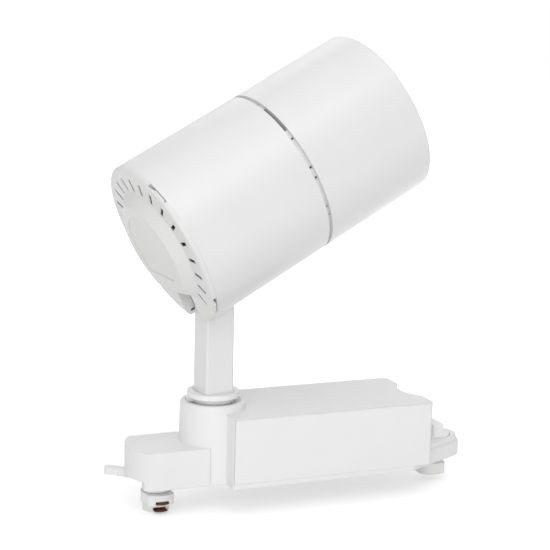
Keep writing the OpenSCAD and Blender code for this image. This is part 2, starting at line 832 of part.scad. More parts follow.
module wire_bush() {
    color("dimgrey") at_arm() translate([0, 0, arm_z + foot_socket]) difference() {
        cylinder(r = arm_bore_r, h = bush_h);
        for (s = [-1, 1]) translate([s * wire_x, 0, -over]) cylinder(r = wire_r, h = bush_h + 2 * over);
    }
}

module arm_wires() {
    color("ivory") at_arm() for (s = [-1, 1]) translate([s * wire_x, 0, nut_z])
        cylinder(r = wire_r, h = wire_out_z - nut_z);
}

// ---- head ----

module arm_slot(z0, z1) {
    translate([slot_in, -slot_half, z0]) cube([head_r, 2 * slot_half, z1 - z0]);
}

module vent_places() {
    for (a = [vent_free : vent_pitch : 360 - vent_free]) rotate(a + cap_turn) children();
}

// Where the crown's sloped lower side lies at height z.
function slope_x(z) = slot_in + z * (slot_in - crown_cut) / crown_h;

// Everything beyond that slope up to height z, with the slope drawn in by t.
module beyond_slope(z, t) {
    low = -crown_h - over;
    rotate([90, 0, 0]) linear_extrude(2 * head_r, center = true)
        polygon([[slope_x(low) - t, low], [slope_x(z) - t, z], [head_r, z], [head_r, low]]);
}

// A window in the rim, the slot behind its tab and the latch hole at the end on side s.
module snap_window(s) {
    translate([head_r - snap_d, -snap_w / 2, -over]) cube([snap_d + over, snap_w, cap_rim + 2 * over]);
    translate([shell_in_r, -snap_w / 2, cap_rim - snap_slot])
        cube([head_r - shell_in_r, snap_w, snap_slot + over]);
    translate([shell_in_r, s * (snap_w - snap_hole) / 2 - snap_hole / 2, snap_slot])
        cube([head_r - shell_in_r, snap_hole, cap_rim + over - snap_slot]);
}

module rear_cap() {
    spigot_r = shell_in_r - seam;
    cap_z = cap_rim + spigot_len;
    outside = [[0, -crown_h], [crown_top_r, -crown_h], [crown_foot_r, 0]];
    edge = [for (a = [-90 : 15 : 0])
        [head_r - cap_round + cap_round * cos(a), cap_round + cap_round * sin(a)]];
    spigot = [[head_r, cap_rim], [spigot_r, cap_rim], [spigot_r, cap_z], [spigot_r - wall_in, cap_z],
        [spigot_r - wall_in, cap_rim], [0, cap_rim]];
    color("white") at_head() difference() {
        union() {
            rotate_extrude() polygon(concat(outside, edge, spigot));
            // walls on both sides of the arm's slot
            for (s = [-1, 1]) translate([slot_in, s * (slot_half + bead / 2) - bead / 2, cap_round / 2])
                cube([spigot_r - wall_in - slot_in - over, bead, cap_z - cap_round / 2]);
        }
        // the crown is hollow, and its lower side slopes down to the slot
        difference() {
            translate([0, 0, cap_rim - crown_h])
                cylinder(r1 = crown_top_r - cap_rim, r2 = crown_foot_r - cap_rim, h = crown_h + bite);
            beyond_slope(cap_rim + over, slope_wall);
        }
        beyond_slope(0, 0);
        arm_slot(-crown_h - over, cap_z + over);
        vent_places() translate([vent_in_r, -vent_w / 2, -over])
            cube([vent_out_r - vent_in_r, vent_w, cap_rim + 2 * over]);
        // bare label recess, cut straight towards the slope
        translate([0, 0, -crown_h - over]) linear_extrude(over + label_depth) rotate(cap_turn) intersection() {
            circle(label_r);
            translate([-2 * label_r + label_cut, -label_r]) square(2 * label_r);
        }
        for (a = snap_angle) rotate(a + cap_turn) snap_window(a < 180 ? 1 : -1);
    }
}

module rear_housing() {
    color("white") at_head() difference() {
        translate([0, 0, cap_rim]) cylinder(r = head_r, h = rear_len - cap_rim);
        translate([0, 0, cap_rim - over]) cylinder(r = shell_in_r, h = rear_len + over);
        arm_slot(cap_rim - over, slot_front);
    }
}

module heat_sink() {
    plate_z = sink_z - sink_t;
    fin_len = plate_z - fin_z;
    sink_r = shell_in_r - 2 * seam;
    color("silver") at_head() difference() {
        union() {
            translate([0, 0, plate_z]) cylinder(r = sink_r, h = sink_t);
            translate([0, 0, fin_z]) cylinder(r = core_r, h = fin_len + over);
            for (i = [0 : fin_count - 1]) rotate(i * 360 / fin_count)
                translate([core_r - over, -fin_t / 2, fin_z])
                    cube([sink_r - pass_gap - core_r + over, fin_t, fin_len + over]);
            // pad for the tilt bracket
            translate([pad_x0, -bracket_y, fin_z]) cube([pad_x1 - pad_x0, 2 * bracket_y, fin_len + over]);
        }
        for (x = bracket_screw_x) translate([x, 0, fin_z - over]) cylinder(r = screw_r, h = screw_len);
    }
}

module tilt_bracket() {
    ear_x = pivot_drop - ear_r + bite;
    color("silver") at_head() difference() {
        union() {
            translate([pad_x0, -bracket_y, bracket_z]) cube([pad_x1 - pad_x0, 2 * bracket_y, bracket_t]);
            for (s = [-1, 1]) translate([0, s * (ear_in + ear_t / 2), pivot_in]) {
                translate([pivot_drop, 0, 0]) rotate([90, 0, 0])
                    cylinder(r = ear_r, h = ear_t, center = true);
                translate([ear_x, -ear_t / 2, 0])
                    cube([pad_x1 - ear_x, ear_t, bracket_z - pivot_in + over]);
            }
        }
        at_pivot() cylinder(r = tilt_bolt_r, h = 2 * bracket_y + 2 * over, center = true);
        for (x = bracket_screw_x) translate([x, 0, bracket_z - over])
            cylinder(r = screw_r, h = bracket_t + 2 * over);
    }
}

module bracket_screws() {
    color("silver") at_head() for (x = bracket_screw_x) translate([x, 0, bracket_z]) {
        translate([0, 0, -screw_head_h]) cylinder(r = screw_head_r, h = screw_head_h);
        cylinder(r = screw_r, h = screw_len - bracket_t);
    }
}

module tilt_bolt() {
    end = bracket_y + tilt_nut_h + seam;
    color("silver") at_head() at_pivot() {
        translate([0, 0, bracket_y]) cylinder(r = bolt_head_r, h = bolt_head_h);
        translate([0, 0, -end]) cylinder(r = tilt_bolt_r, h = end + bracket_y + over);
    }
}

module tilt_nut() {
    color("silver") at_head() at_pivot() translate([0, 0, -bracket_y - tilt_nut_h]) difference() {
        cylinder(r = tilt_nut_r, h = tilt_nut_h, $fn = 6);
        translate([0, 0, -over]) cylinder(r = tilt_bolt_r, h = tilt_nut_h + 2 * over);
    }
}

module tilt_washers() {
    color("dimgrey") at_head() at_pivot() for (s = [-1, 1]) translate([0, 0, s * (ear_in - tilt_washer_t / 2)])
        difference() {
            cylinder(r = ear_r, h = tilt_washer_t, center = true);
            cylinder(r = tilt_bolt_r, h = tilt_washer_t + over, center = true);
        }
}

module vent_ring() {
    spigot_r = shell_in_r - seam;
    end_z = front_z + spigot_len;
    tab_pitch = 360 / tab_count;
    color("white") at_head() difference() {
        union() {
            translate([0, 0, sink_z]) cylinder(r = spigot_r, h = end_z - sink_z);
            translate([0, 0, rear_len]) cylinder(r = head_r - band_in, h = gap_w);
        }
        translate([0, 0, sink_z - over]) cylinder(r = spigot_r - wall_in, h = end_z - sink_z + 2 * over);
        // slits on both sides of each snap tab
        for (i = [0 : tab_count - 1], s = [-1, 1]) rotate(tab_turn + i * tab_pitch + s * tab_half)
            translate([spigot_r - 2 * wall_in, -slit_w / 2, rear_len - slit_w])
                cube([3 * wall_in, slit_w, gap_w + 2 * slit_w]);
        // two long windows between tabs
        for (a = [0, 180]) rotate(tab_turn + a + tab_pitch / 2)
            translate([spigot_r - 2 * wall_in, -window_w / 2, rear_len])
                cube([3 * wall_in, window_w, gap_w]);
    }
}

module led_module() {
    color("khaki") at_head() translate([0, 0, sink_z]) {
        translate([-led_side / 2, -led_side / 2, 0]) cube([led_side, led_side, led_t]);
        cylinder(r = led_disc_r, h = led_t + 0.8);
    }
}

module led_holder() {
    color("white") at_head() difference() {
        translate([0, 0, sink_z]) cylinder(r = holder_r, h = holder_h);
        translate([0, 0, sink_z - over]) cylinder(r = reflector_in_r, h = holder_h + 2 * over);
        translate([-led_side / 2 - seam, -led_side / 2 - seam, sink_z - over])
            cube([led_side + 2 * seam, led_side + 2 * seam, led_t + over + seam]);
    }
}

// A parabola from the light engine to the mouth, then a flange under the ledge.
module reflector() {
    z0 = holder_z;
    z1 = ledge_z - reflector_t;
    k = (z1 - z0) / (reflector_out_r * reflector_out_r - reflector_in_r * reflector_in_r);
    steps = 14;
    rs = [for (i = [0 : steps]) reflector_in_r + (reflector_out_r - reflector_in_r) * i / steps];
    inner = [for (r = rs) [r, z0 + k * (r * r - reflector_in_r * reflector_in_r)]];
    outer = [for (i = [steps : -1 : 0]) inner[i] + [reflector_t, 0]];
    color("silver") at_head() rotate_extrude() {
        polygon(concat(inner, [[reflector_out_r, ledge_z], [shell_in_r - seam, ledge_z],
            [shell_in_r - seam, z1]], outer));
    }
}

module front_housing() {
    ledge_r = reflector_out_r + reflector_t;
    rim_z = ring_z + lock_ring_h;
    color("white") at_head() rotate_extrude() polygon([[shell_in_r, front_z], [head_r, front_z],
        [head_r, mouth_z - mouth_edge], [head_r - mouth_edge, mouth_z], [mouth_r, mouth_z],
        [mouth_r, rim_z], [shell_in_r, rim_z], [shell_in_r, glass_z], [ledge_r, glass_z],
        [ledge_r, ledge_z], [shell_in_r, ledge_z]]);
}

module front_glass() {
    color("lightcyan", 0.4) at_head() translate([0, 0, glass_z]) cylinder(r = shell_in_r - seam, h = glass_t);
}

module glass_ring() {
    color("white") at_head() translate([0, 0, ring_z]) difference() {
        cylinder(r = shell_in_r - seam, h = lock_ring_h);
        translate([0, 0, -over]) cylinder(r = shell_in_r - lock_ring_w, h = lock_ring_h + 2 * over);
    }
}

adapter_housing();
side_cover();
base_plate();
base_screws();
driver_board();
driver_transformer();
driver_capacitors();
driver_choke();
thrust_washer();
contact_rotor();
contact_lever();
contact_blades();
rotor_clip();
lock_knob();
lock_foot();
lock_screw();
swivel_collar();
swivel_spindle();
swivel_washer();
swivel_nut();
arm_post();
wire_bush();
arm_wires();
rear_cap();
rear_housing();
heat_sink();
tilt_bracket();
bracket_screws();
tilt_bolt();
tilt_nut();
tilt_washers();
vent_ring();
led_module();
led_holder();
reflector();
front_housing();
front_glass();
glass_ring();
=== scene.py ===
"""Track spotlight: finishes, small fittings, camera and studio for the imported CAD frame."""

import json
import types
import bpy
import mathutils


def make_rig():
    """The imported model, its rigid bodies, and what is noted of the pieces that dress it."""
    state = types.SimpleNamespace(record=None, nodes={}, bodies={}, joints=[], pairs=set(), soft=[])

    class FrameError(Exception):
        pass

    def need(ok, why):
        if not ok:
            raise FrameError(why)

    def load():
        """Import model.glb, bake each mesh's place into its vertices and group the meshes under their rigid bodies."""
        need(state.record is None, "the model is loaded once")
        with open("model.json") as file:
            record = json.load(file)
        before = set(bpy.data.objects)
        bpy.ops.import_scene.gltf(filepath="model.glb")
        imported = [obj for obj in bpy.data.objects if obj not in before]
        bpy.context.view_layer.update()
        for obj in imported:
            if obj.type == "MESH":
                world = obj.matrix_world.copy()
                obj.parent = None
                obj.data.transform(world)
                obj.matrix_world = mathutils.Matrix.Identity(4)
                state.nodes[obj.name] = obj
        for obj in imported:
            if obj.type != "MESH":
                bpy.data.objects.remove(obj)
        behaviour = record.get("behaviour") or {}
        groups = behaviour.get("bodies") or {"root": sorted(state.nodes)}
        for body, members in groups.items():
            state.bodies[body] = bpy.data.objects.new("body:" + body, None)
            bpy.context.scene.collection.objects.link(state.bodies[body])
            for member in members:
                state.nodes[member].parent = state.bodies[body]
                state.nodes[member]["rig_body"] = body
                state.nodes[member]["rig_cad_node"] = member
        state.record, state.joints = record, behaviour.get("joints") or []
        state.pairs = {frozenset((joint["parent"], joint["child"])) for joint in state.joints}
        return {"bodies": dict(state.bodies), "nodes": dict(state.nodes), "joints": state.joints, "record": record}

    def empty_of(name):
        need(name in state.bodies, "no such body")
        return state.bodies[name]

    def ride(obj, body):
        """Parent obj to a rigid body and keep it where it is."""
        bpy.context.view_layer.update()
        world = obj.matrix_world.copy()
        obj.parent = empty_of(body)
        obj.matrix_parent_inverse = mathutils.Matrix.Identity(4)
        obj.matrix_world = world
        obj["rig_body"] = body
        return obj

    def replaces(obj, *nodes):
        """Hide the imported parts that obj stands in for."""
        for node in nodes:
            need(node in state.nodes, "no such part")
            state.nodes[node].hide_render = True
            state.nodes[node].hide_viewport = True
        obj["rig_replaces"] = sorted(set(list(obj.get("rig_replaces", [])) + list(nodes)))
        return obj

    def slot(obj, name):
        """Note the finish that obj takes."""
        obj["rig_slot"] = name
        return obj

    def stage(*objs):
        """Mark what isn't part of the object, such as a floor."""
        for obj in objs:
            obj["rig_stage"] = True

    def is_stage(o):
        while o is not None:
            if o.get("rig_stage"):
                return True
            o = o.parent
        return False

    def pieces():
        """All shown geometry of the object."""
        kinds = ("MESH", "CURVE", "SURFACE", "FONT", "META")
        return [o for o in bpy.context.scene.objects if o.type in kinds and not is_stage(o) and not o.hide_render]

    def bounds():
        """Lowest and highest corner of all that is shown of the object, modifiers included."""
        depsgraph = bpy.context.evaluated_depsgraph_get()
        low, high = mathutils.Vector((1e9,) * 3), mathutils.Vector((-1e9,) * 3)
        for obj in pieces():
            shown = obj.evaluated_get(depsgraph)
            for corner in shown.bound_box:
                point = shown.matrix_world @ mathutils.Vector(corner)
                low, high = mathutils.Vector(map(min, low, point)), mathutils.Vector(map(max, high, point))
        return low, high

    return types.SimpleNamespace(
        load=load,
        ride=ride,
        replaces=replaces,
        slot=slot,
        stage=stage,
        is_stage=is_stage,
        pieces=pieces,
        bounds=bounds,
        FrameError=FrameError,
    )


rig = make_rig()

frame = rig.load()

import json
import logging
import math
from dataclasses import dataclass, replace
from enum import Enum
from typing import Callable, Iterable, Iterator, Optional, Sequence

import bmesh
import bpy
from mathutils import Matrix, Vector
from mathutils.bvhtree import BVHTree

log = logging.getLogger("track_spotlight")
MM = 0.001
FRAME_SIZE = 550
CAD_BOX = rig.bounds()
NOISE_RANGE = (0.3, 0.7)
EDGE_SAMPLES = 6
WHITE = (1.0, 1.0, 1.0, 1.0)
FLOOR_GAP = 0.0002
WELD = 1e-6

Triple = tuple[float, float, float]
Pair = tuple[float, float]
Row = list[bmesh.types.BMVert]
Node = bpy.types.Node
Socket = bpy.types.NodeSocket


# ---------------- materials


def toned(colour: Triple, factor: float) -> Triple:
    """Returns a colour made lighter or darker, with no channel above 1."""
    return tuple(min(1.0, channel * factor) for channel in colour)


class NodeSheet:
    """A material's node tree with short calls to add and join nodes."""

    def __init__(self, name: str) -> None:
        """Starts an empty material.

        Args:
            name: The material's name.
        """
        self.material = bpy.data.materials.new(name)
        self.material.use_nodes = True
        self.tree = self.material.node_tree
        self.tree.nodes.clear()
        self.output = self.tree.nodes.new("ShaderNodeOutputMaterial")

    def add(self, kind: str, **values: object) -> Node:
        """Adds a node.

        Args:
            kind: The node's type without the ShaderNode prefix.
            **values: Input socket names, with _ for a space, and their values.

        Returns:
            The new node.
        """
        node = self.tree.nodes.new("ShaderNode" + kind)
        for key, value in values.items():
            name = key.replace("_", " ")
            if name in node.inputs:
                node.inputs[name].default_value = value
            else:
                setattr(node, key, value)
        return node

    def join(self, source: Socket, target: Socket) -> None:
        """Links an output socket to an input socket."""
        self.tree.links.new(source, target)

    def coords(self) -> Socket:
        """Returns the object's own coordinates."""
        return self.add("TexCoord").outputs["Object"]

    def noise(self, size_mm: float, detail: float) -> Socket:
        """Adds noise in object space.

        Args:
            size_mm: About how wide its features are, in millimetres.
            detail: Octaves of detail.

        Returns:
            The noise's value.
        """
        node = self.add("TexNoise", Scale=1.0 / (size_mm * MM), Detail=detail)
        self.join(self.coords(), node.inputs["Vector"])
        return node.outputs["Fac"]

    def cells(self, size_mm: float, feature: str, **values: object) -> Socket:
        """Adds a cell pattern in object space.

        Args:
            size_mm: About how wide its cells are, in millimetres.
            feature: What the pattern measures, in Blender's words.
            **values: More settings of the node.

        Returns:
            The measured distance.
        """
        node = self.add("TexVoronoi", Scale=1.0 / (size_mm * MM), feature=feature, **values)
        self.join(self.coords(), node.inputs["Vector"])
        return node.outputs["Distance"]

    def remap(self, source: Socket, old: Pair, new: Pair = (0.0, 1.0)) -> Socket:
        """Maps a value from one range onto another and holds it at the ends.

        Args:
            source: The value's socket.
            old: Where the value starts and ends.
            new: Where the result starts and ends.

        Returns:
            The result's socket.
        """
        node = self.add("MapRange", From_Min=old[0], From_Max=old[1], To_Min=new[0], To_Max=new[1])
        self.join(source, node.inputs["Value"])
        return node.outputs["Result"]

    def two_tone(
        self, source: Socket, first: Triple, last: Triple, stops: Pair = (0.0, 1.0)
    ) -> Socket:
        """Maps a value onto two colours.

        Args:
            source: The value's socket.
            first: The colour below the first stop.
            last: The colour above the last stop.
            stops: The values at which the two colours are pure.

        Returns:
            The colour's socket.
        """
        node = self.add("ValToRGB")
        for element, stop, colour in zip(node.color_ramp.elements, stops, (first, last)):
            element.position = stop
            element.color = (*colour, 1.0)
        self.join(source, node.inputs["Fac"])
        return node.outputs["Color"]

    def product(self, first: Socket, second: Socket) -> Socket:
        """Multiplies two values.

        Args:
            first: One value's socket.
            second: The other's.

        Returns:
            The product's socket.
        """
        node = self.add("Math", operation="MULTIPLY")
        self.join(first, node.inputs[0])
        self.join(second, node.inputs[1])
        return node.outputs["Value"]

    def bump(self, height: Socket, depth_mm: float, edge_mm: float) -> Socket:
        """Adds a bump over softly rounded edges.

        Args:
            height: The height's socket.
            depth_mm: Height in millimetres that 1 stands for.
            edge_mm: Radius that sharp edges seem to have.

        Returns:
            The normal output.
        """
        node = self.add("Bump", Strength=1.0, Distance=depth_mm * MM)
        self.join(height, node.inputs["Height"])
        edge = self.add("Bevel", samples=EDGE_SAMPLES, Radius=edge_mm * MM)
        self.join(edge.outputs["Normal"], node.inputs["Normal"])
        return node.outputs["Normal"]


@dataclass(frozen=True)
class PaintedShade:
    """Painted shade: a dark colour painted inside a round shell, where little light reaches.

    It lies within radius_mm of the axis, past depth_mm along it and short of side_mm
    sideways, and it fades in over the two fade lengths.
    """

    origin: Triple
    axis: Triple
    side: Triple
    radius_mm: float
    depth_mm: float
    side_mm: float = 100.0
    wall_fade_mm: float = 0.3
    end_fade_mm: float = 0.6
    # The colour of the painted shade.
    colour: Triple = (0.035, 0.035, 0.037)

    def mask(self, sheet: NodeSheet) -> Socket:
        """Returns 1 where the shade is painted and 0 outside it.

        Args:
            sheet: The node tree.

        Returns:
            The mask's socket.
        """
        away = sheet.add("VectorMath", operation="SUBTRACT")
        sheet.join(sheet.coords(), away.inputs[0])
        away.inputs[1].default_value = self.origin
        across = sheet.add("VectorMath", operation="CROSS_PRODUCT")
        length = sheet.add("VectorMath", operation="LENGTH")
        along = sheet.add("VectorMath", operation="DOT_PRODUCT")
        beside = sheet.add("VectorMath", operation="DOT_PRODUCT")
        for node, axis in ((across, self.axis), (along, self.axis), (beside, self.side)):
            sheet.join(away.outputs["Vector"], node.inputs[0])
            node.inputs[1].default_value = axis
        sheet.join(across.outputs["Vector"], length.inputs[0])
        inside, deep, near = (
            sheet.remap(node.outputs["Value"], (start * MM, (start + fade) * MM))
            for node, start, fade in (
                (length, self.radius_mm, -self.wall_fade_mm),
                (along, self.depth_mm, self.end_fade_mm),
                (beside, self.side_mm, -self.end_fade_mm),
            )
        )
        return sheet.product(sheet.product(inside, deep), near)


@dataclass(frozen=True)
class Finish:
    """A finish with its own grain, colour drift and edge softness."""

    name: str
    colour: Triple
    rough: float
    metallic: float = 0.0
    grain_mm: float = 0.35
    grain_depth_mm: float = 0.01
    drift: float = 0.006
    drift_mm: float = 22.0
    drift_stops: Pair = (0.35, 0.65)
    rough_drift: float = 0.03
    rough_drift_mm: float = 14.0
    edge_mm: float = 0.35
    specular: float = 0.5
    # Patches of painted shade, mixed into the colour.
    painted_shades: tuple[PaintedShade, ...] = ()

    def build(self) -> bpy.types.Material:
        """Makes the material.

        Returns:
            The new material.
        """
        sheet = NodeSheet(self.name)
        shader = sheet.add(
            "BsdfPrincipled", Metallic=self.metallic, Specular_IOR_Level=self.specular
        )
        self.colour_nodes(sheet, shader)
        rough = sheet.remap(
            sheet.noise(self.rough_drift_mm, detail=2.0),
            NOISE_RANGE,
            (self.rough - self.rough_drift, self.rough + self.rough_drift),
        )
        sheet.join(rough, shader.inputs["Roughness"])
        sheet.join(self.normal(sheet), shader.inputs["Normal"])
        sheet.join(shader.outputs["BSDF"], sheet.output.inputs["Surface"])
        sheet.material.diffuse_color = (*self.colour, 1.0)
        return sheet.material

    def colour_nodes(self, sheet: NodeSheet, shader: Node) -> None:
        """Joins a base colour that drifts slightly over the surface, with any painted shade mixed over it.

        Args:
            sheet: The node tree.
            shader: The shader that takes the colour.
        """
        dark, light = toned(self.colour, 1 - self.drift), toned(self.colour, 1 + self.drift)
        drift = sheet.noise(self.drift_mm, detail=4.0)
        shade = sheet.two_tone(drift, dark, light, self.drift_stops)
        # Painted shade: each patch's dark colour is mixed over the base colour.
        for painted_shade in self.painted_shades:
            mix = sheet.add("MixRGB", Color2=(*painted_shade.colour, 1.0))
            sheet.join(painted_shade.mask(sheet), mix.inputs["Fac"])
            sheet.join(shade, mix.inputs["Color1"])
            shade = mix.outputs["Color"]
        sheet.join(shade, shader.inputs["Base Color"])

    def normal(self, sheet: NodeSheet) -> Socket:
        """Returns the normal of the grain over the softened edges."""
        grain = sheet.noise(self.grain_mm, detail=2.0)
        return sheet.bump(grain, self.grain_depth_mm, self.edge_mm)


@dataclass(frozen=True)
class TexturedPaint(Finish):
    """Powder coat: a fine pebbled skin with a soft sheen."""

    grain_depth_mm: float = 0.012
    edge_mm: float = 0.4
    pebble_mm: float = 0.9
    pebble_depth_mm: float = 0.02

    def normal(self, sheet: NodeSheet) -> Socket:
        """Adds the pebbles and the finer grain.

        Args:
            sheet: The node tree.

        Returns:
            The normal output.
        """
        mix = sheet.add("Math", operation="MULTIPLY_ADD")
        sheet.join(sheet.cells(self.pebble_mm, "SMOOTH_F1"), mix.inputs[0])
        mix.inputs[1].default_value = self.pebble_depth_mm / self.grain_depth_mm
        sheet.join(sheet.noise(self.grain_mm, detail=3.0), mix.inputs[2])
        return sheet.bump(mix.outputs["Value"], self.grain_depth_mm, self.edge_mm)


@dataclass(frozen=True)
class TurnedMetal(Finish):
    """Metal with fine marks that run round or along the piece."""

    metallic: float = 1.0
    marks_mm: float = 0.25
    marks_stretch: float = 0.08
    axis: int = 2

    def normal(self, sheet: NodeSheet) -> Socket:
        """Adds the tool marks.

        Args:
            sheet: The node tree.

        Returns:
            The normal output.
        """
        scale = tuple(1.0 if i == self.axis else self.marks_stretch for i in range(3))
        stretch = sheet.add("Mapping", Scale=scale)
        sheet.join(sheet.coords(), stretch.inputs["Vector"])
        marks = sheet.add("TexNoise", Scale=1.0 / (self.marks_mm * MM), Detail=2.0)
        sheet.join(stretch.outputs["Vector"], marks.inputs["Vector"])
        return sheet.bump(marks.outputs["Fac"], self.grain_depth_mm, self.edge_mm)


@dataclass(frozen=True)
class ClearGlass(Finish):
    """Clear glass that lets the light through to the reflector."""

    ior: float = 1.5
    smear_mm: float = 9.0

    def build(self) -> bpy.types.Material:
        """Makes the material.

        Returns:
            The new material.
        """
        sheet = NodeSheet(self.name)
        shader = sheet.add(
            "BsdfPrincipled", IOR=self.ior, Transmission_Weight=1.0, Base_Color=(*self.colour, 1.0)
        )
        smear = sheet.noise(self.smear_mm, detail=4.0)
        rough = sheet.remap(smear, NOISE_RANGE, (0.0, self.rough))
        sheet.join(rough, shader.inputs["Roughness"])
        sheet.join(shader.outputs["BSDF"], sheet.output.inputs["Surface"])
        return sheet.material


@dataclass(frozen=True)
class Phosphor(Finish):
    """The yellow phosphor of a chip-on-board light source."""

    mottle: float = 0.8
    mottle_mm: float = 0.4

    def colour_nodes(self, sheet: NodeSheet, shader: Node) -> None:
        """Joins a warm yellow mottled by the phosphor's grains.

        Args:
            sheet: The node tree.
            shader: The shader that takes the colour.
        """
        grains = sheet.noise(self.mottle_mm, detail=4.0)
        shade = sheet.two_tone(grains, toned(self.colour, self.mottle), self.colour)
        sheet.join(shade, shader.inputs["Base Color"])


@dataclass(frozen=True)
class CircuitBoard(Finish):
    """Solder mask over faint copper tracks."""

    track: float = 1.7
    track_mm: float = 4.0
    track_stops: Pair = (0.08, 0.12)
    unevenness: float = 0.6

    def colour_nodes(self, sheet: NodeSheet, shader: Node) -> None:
        """Joins mask green with paler tracks from a stepped cell pattern.

        Args:
            sheet: The node tree.
            shader: The shader that takes the colour.
        """
        edges = sheet.cells(self.track_mm, "DISTANCE_TO_EDGE", Randomness=self.unevenness)
        track = toned(self.colour, self.track)
        shade = sheet.two_tone(edges, track, self.colour, self.track_stops)
        sheet.join(shade, shader.inputs["Base Color"])


WHITE_PAINT = TexturedPaint("white_paint", (0.81, 0.81, 0.812), 0.38)
# A glossier copy of the white paint. The gloss is the paint's own; its darker colour is painted shade that deepens the
# head's lower side.
HEAD_PAINT_GLOSS_AND_SHADE = TexturedPaint("head_paint", (0.785, 0.785, 0.788), 0.32, specular=0.7)
# A lighter copy of the white paint: painted light that brightens the collar and its neck in the flange's shade.
LIT_COLLAR_PAINT = TexturedPaint("collar_paint", (0.88, 0.88, 0.88), 0.38)
WHITE_PLASTIC = Finish(
    "white_plastic", (0.865, 0.865, 0.868), 0.46, grain_depth_mm=0.008, edge_mm=0.4
)
CAP_PLASTIC = Finish("cap_plastic", (0.78, 0.777, 0.772), 0.5, edge_mm=0.5)
GREY_PLASTIC = Finish("grey_plastic", (0.9, 0.897, 0.885), 0.4, grain_depth_mm=0.006, edge_mm=0.4)
RIBBED_PLASTIC = Finish(
    "ribbed_plastic", (0.86, 0.858, 0.848), 0.42, grain_depth_mm=0.004, edge_mm=0.08
)
ZINC_STEEL = TurnedMetal("zinc_steel", (0.62, 0.62, 0.63), 0.32, edge_mm=0.2)
CAST_ALUMINIUM = Finish(
    "cast_aluminium", (0.72, 0.73, 0.74), 0.5, metallic=1.0, grain_depth_mm=0.03, edge_mm=0.3
)
COPPER_STRIP = TurnedMetal(
    "copper_strip", (0.13, 0.06, 0.035), 0.5, edge_mm=0.1, axis=0, drift=0.12
)
SOLDER_MASK = CircuitBoard("solder_mask", (0.03, 0.2, 0.08), 0.3)
FERRITE = Finish("ferrite", (0.09, 0.09, 0.095), 0.55, grain_depth_mm=0.03)
CAN_SLEEVE = Finish("can_sleeve", (0.03, 0.04, 0.08), 0.25)
WIRE_SLEEVE = Finish("wire_sleeve", (0.78, 0.77, 0.72), 0.5, edge_mm=0.1)
DARK_RUBBER = Finish("dark_rubber", (0.05, 0.05, 0.052), 0.75, grain_depth_mm=0.03)
PHOSPHOR = Phosphor("phosphor", (0.88, 0.68, 0.2), 0.45, edge_mm=0.1)
BOARD_WHITE = Finish("board_white", (0.86, 0.86, 0.85), 0.35, grain_depth_mm=0.003, edge_mm=0.1)
SOLDER = Finish("solder", (0.7, 0.7, 0.72), 0.25, metallic=1.0, edge_mm=0.1)
MIRROR_COAT = Finish(
    "mirror_coat",
    (0.86, 0.86, 0.88),
    0.08,
    metallic=1.0,
    grain_depth_mm=0.0005,
    rough_drift=0.02,
    edge_mm=0.1,
)
GLASS = ClearGlass("front_glass_clear", (0.97, 0.985, 0.98), 0.03)


class Paintbox:
    """Builds each finish once and gives it to CAD nodes and pieces."""

    def __init__(self) -> None:
        """Starts with no material built."""
        self.made: dict[str, bpy.types.Material] = {}

    def material(self, finish: Finish) -> bpy.types.Material:
        """Builds a finish's material the first time and keeps it.

        Args:
            finish: The finish.

        Returns:
            Its material.
        """
        if finish.name not in self.made:
            self.made[finish.name] = finish.build()
        return self.made[finish.name]

    def coat(self, thing: bpy.types.Object, finish: Finish) -> None:
        """Puts one finish on every slot of an object.

        Args:
            thing: A CAD node's object or a new piece.
            finish: The finish it gets.
        """
        made = self.material(finish)
        if not thing.material_slots:
            thing.data.materials.append(made)
        for one in thing.material_slots:
            one.material = made

    def coat_nodes(self, finish: Finish, *names: str) -> None:
        """Puts one finish on several CAD nodes and logs each.

        Args:
            finish: The finish they get.
            *names: The nodes.
        """
        for name in names:
            self.coat(frame["nodes"][name], finish)
            log.info("node %s: %s", name, finish.name)


# ---------------- camera and image points


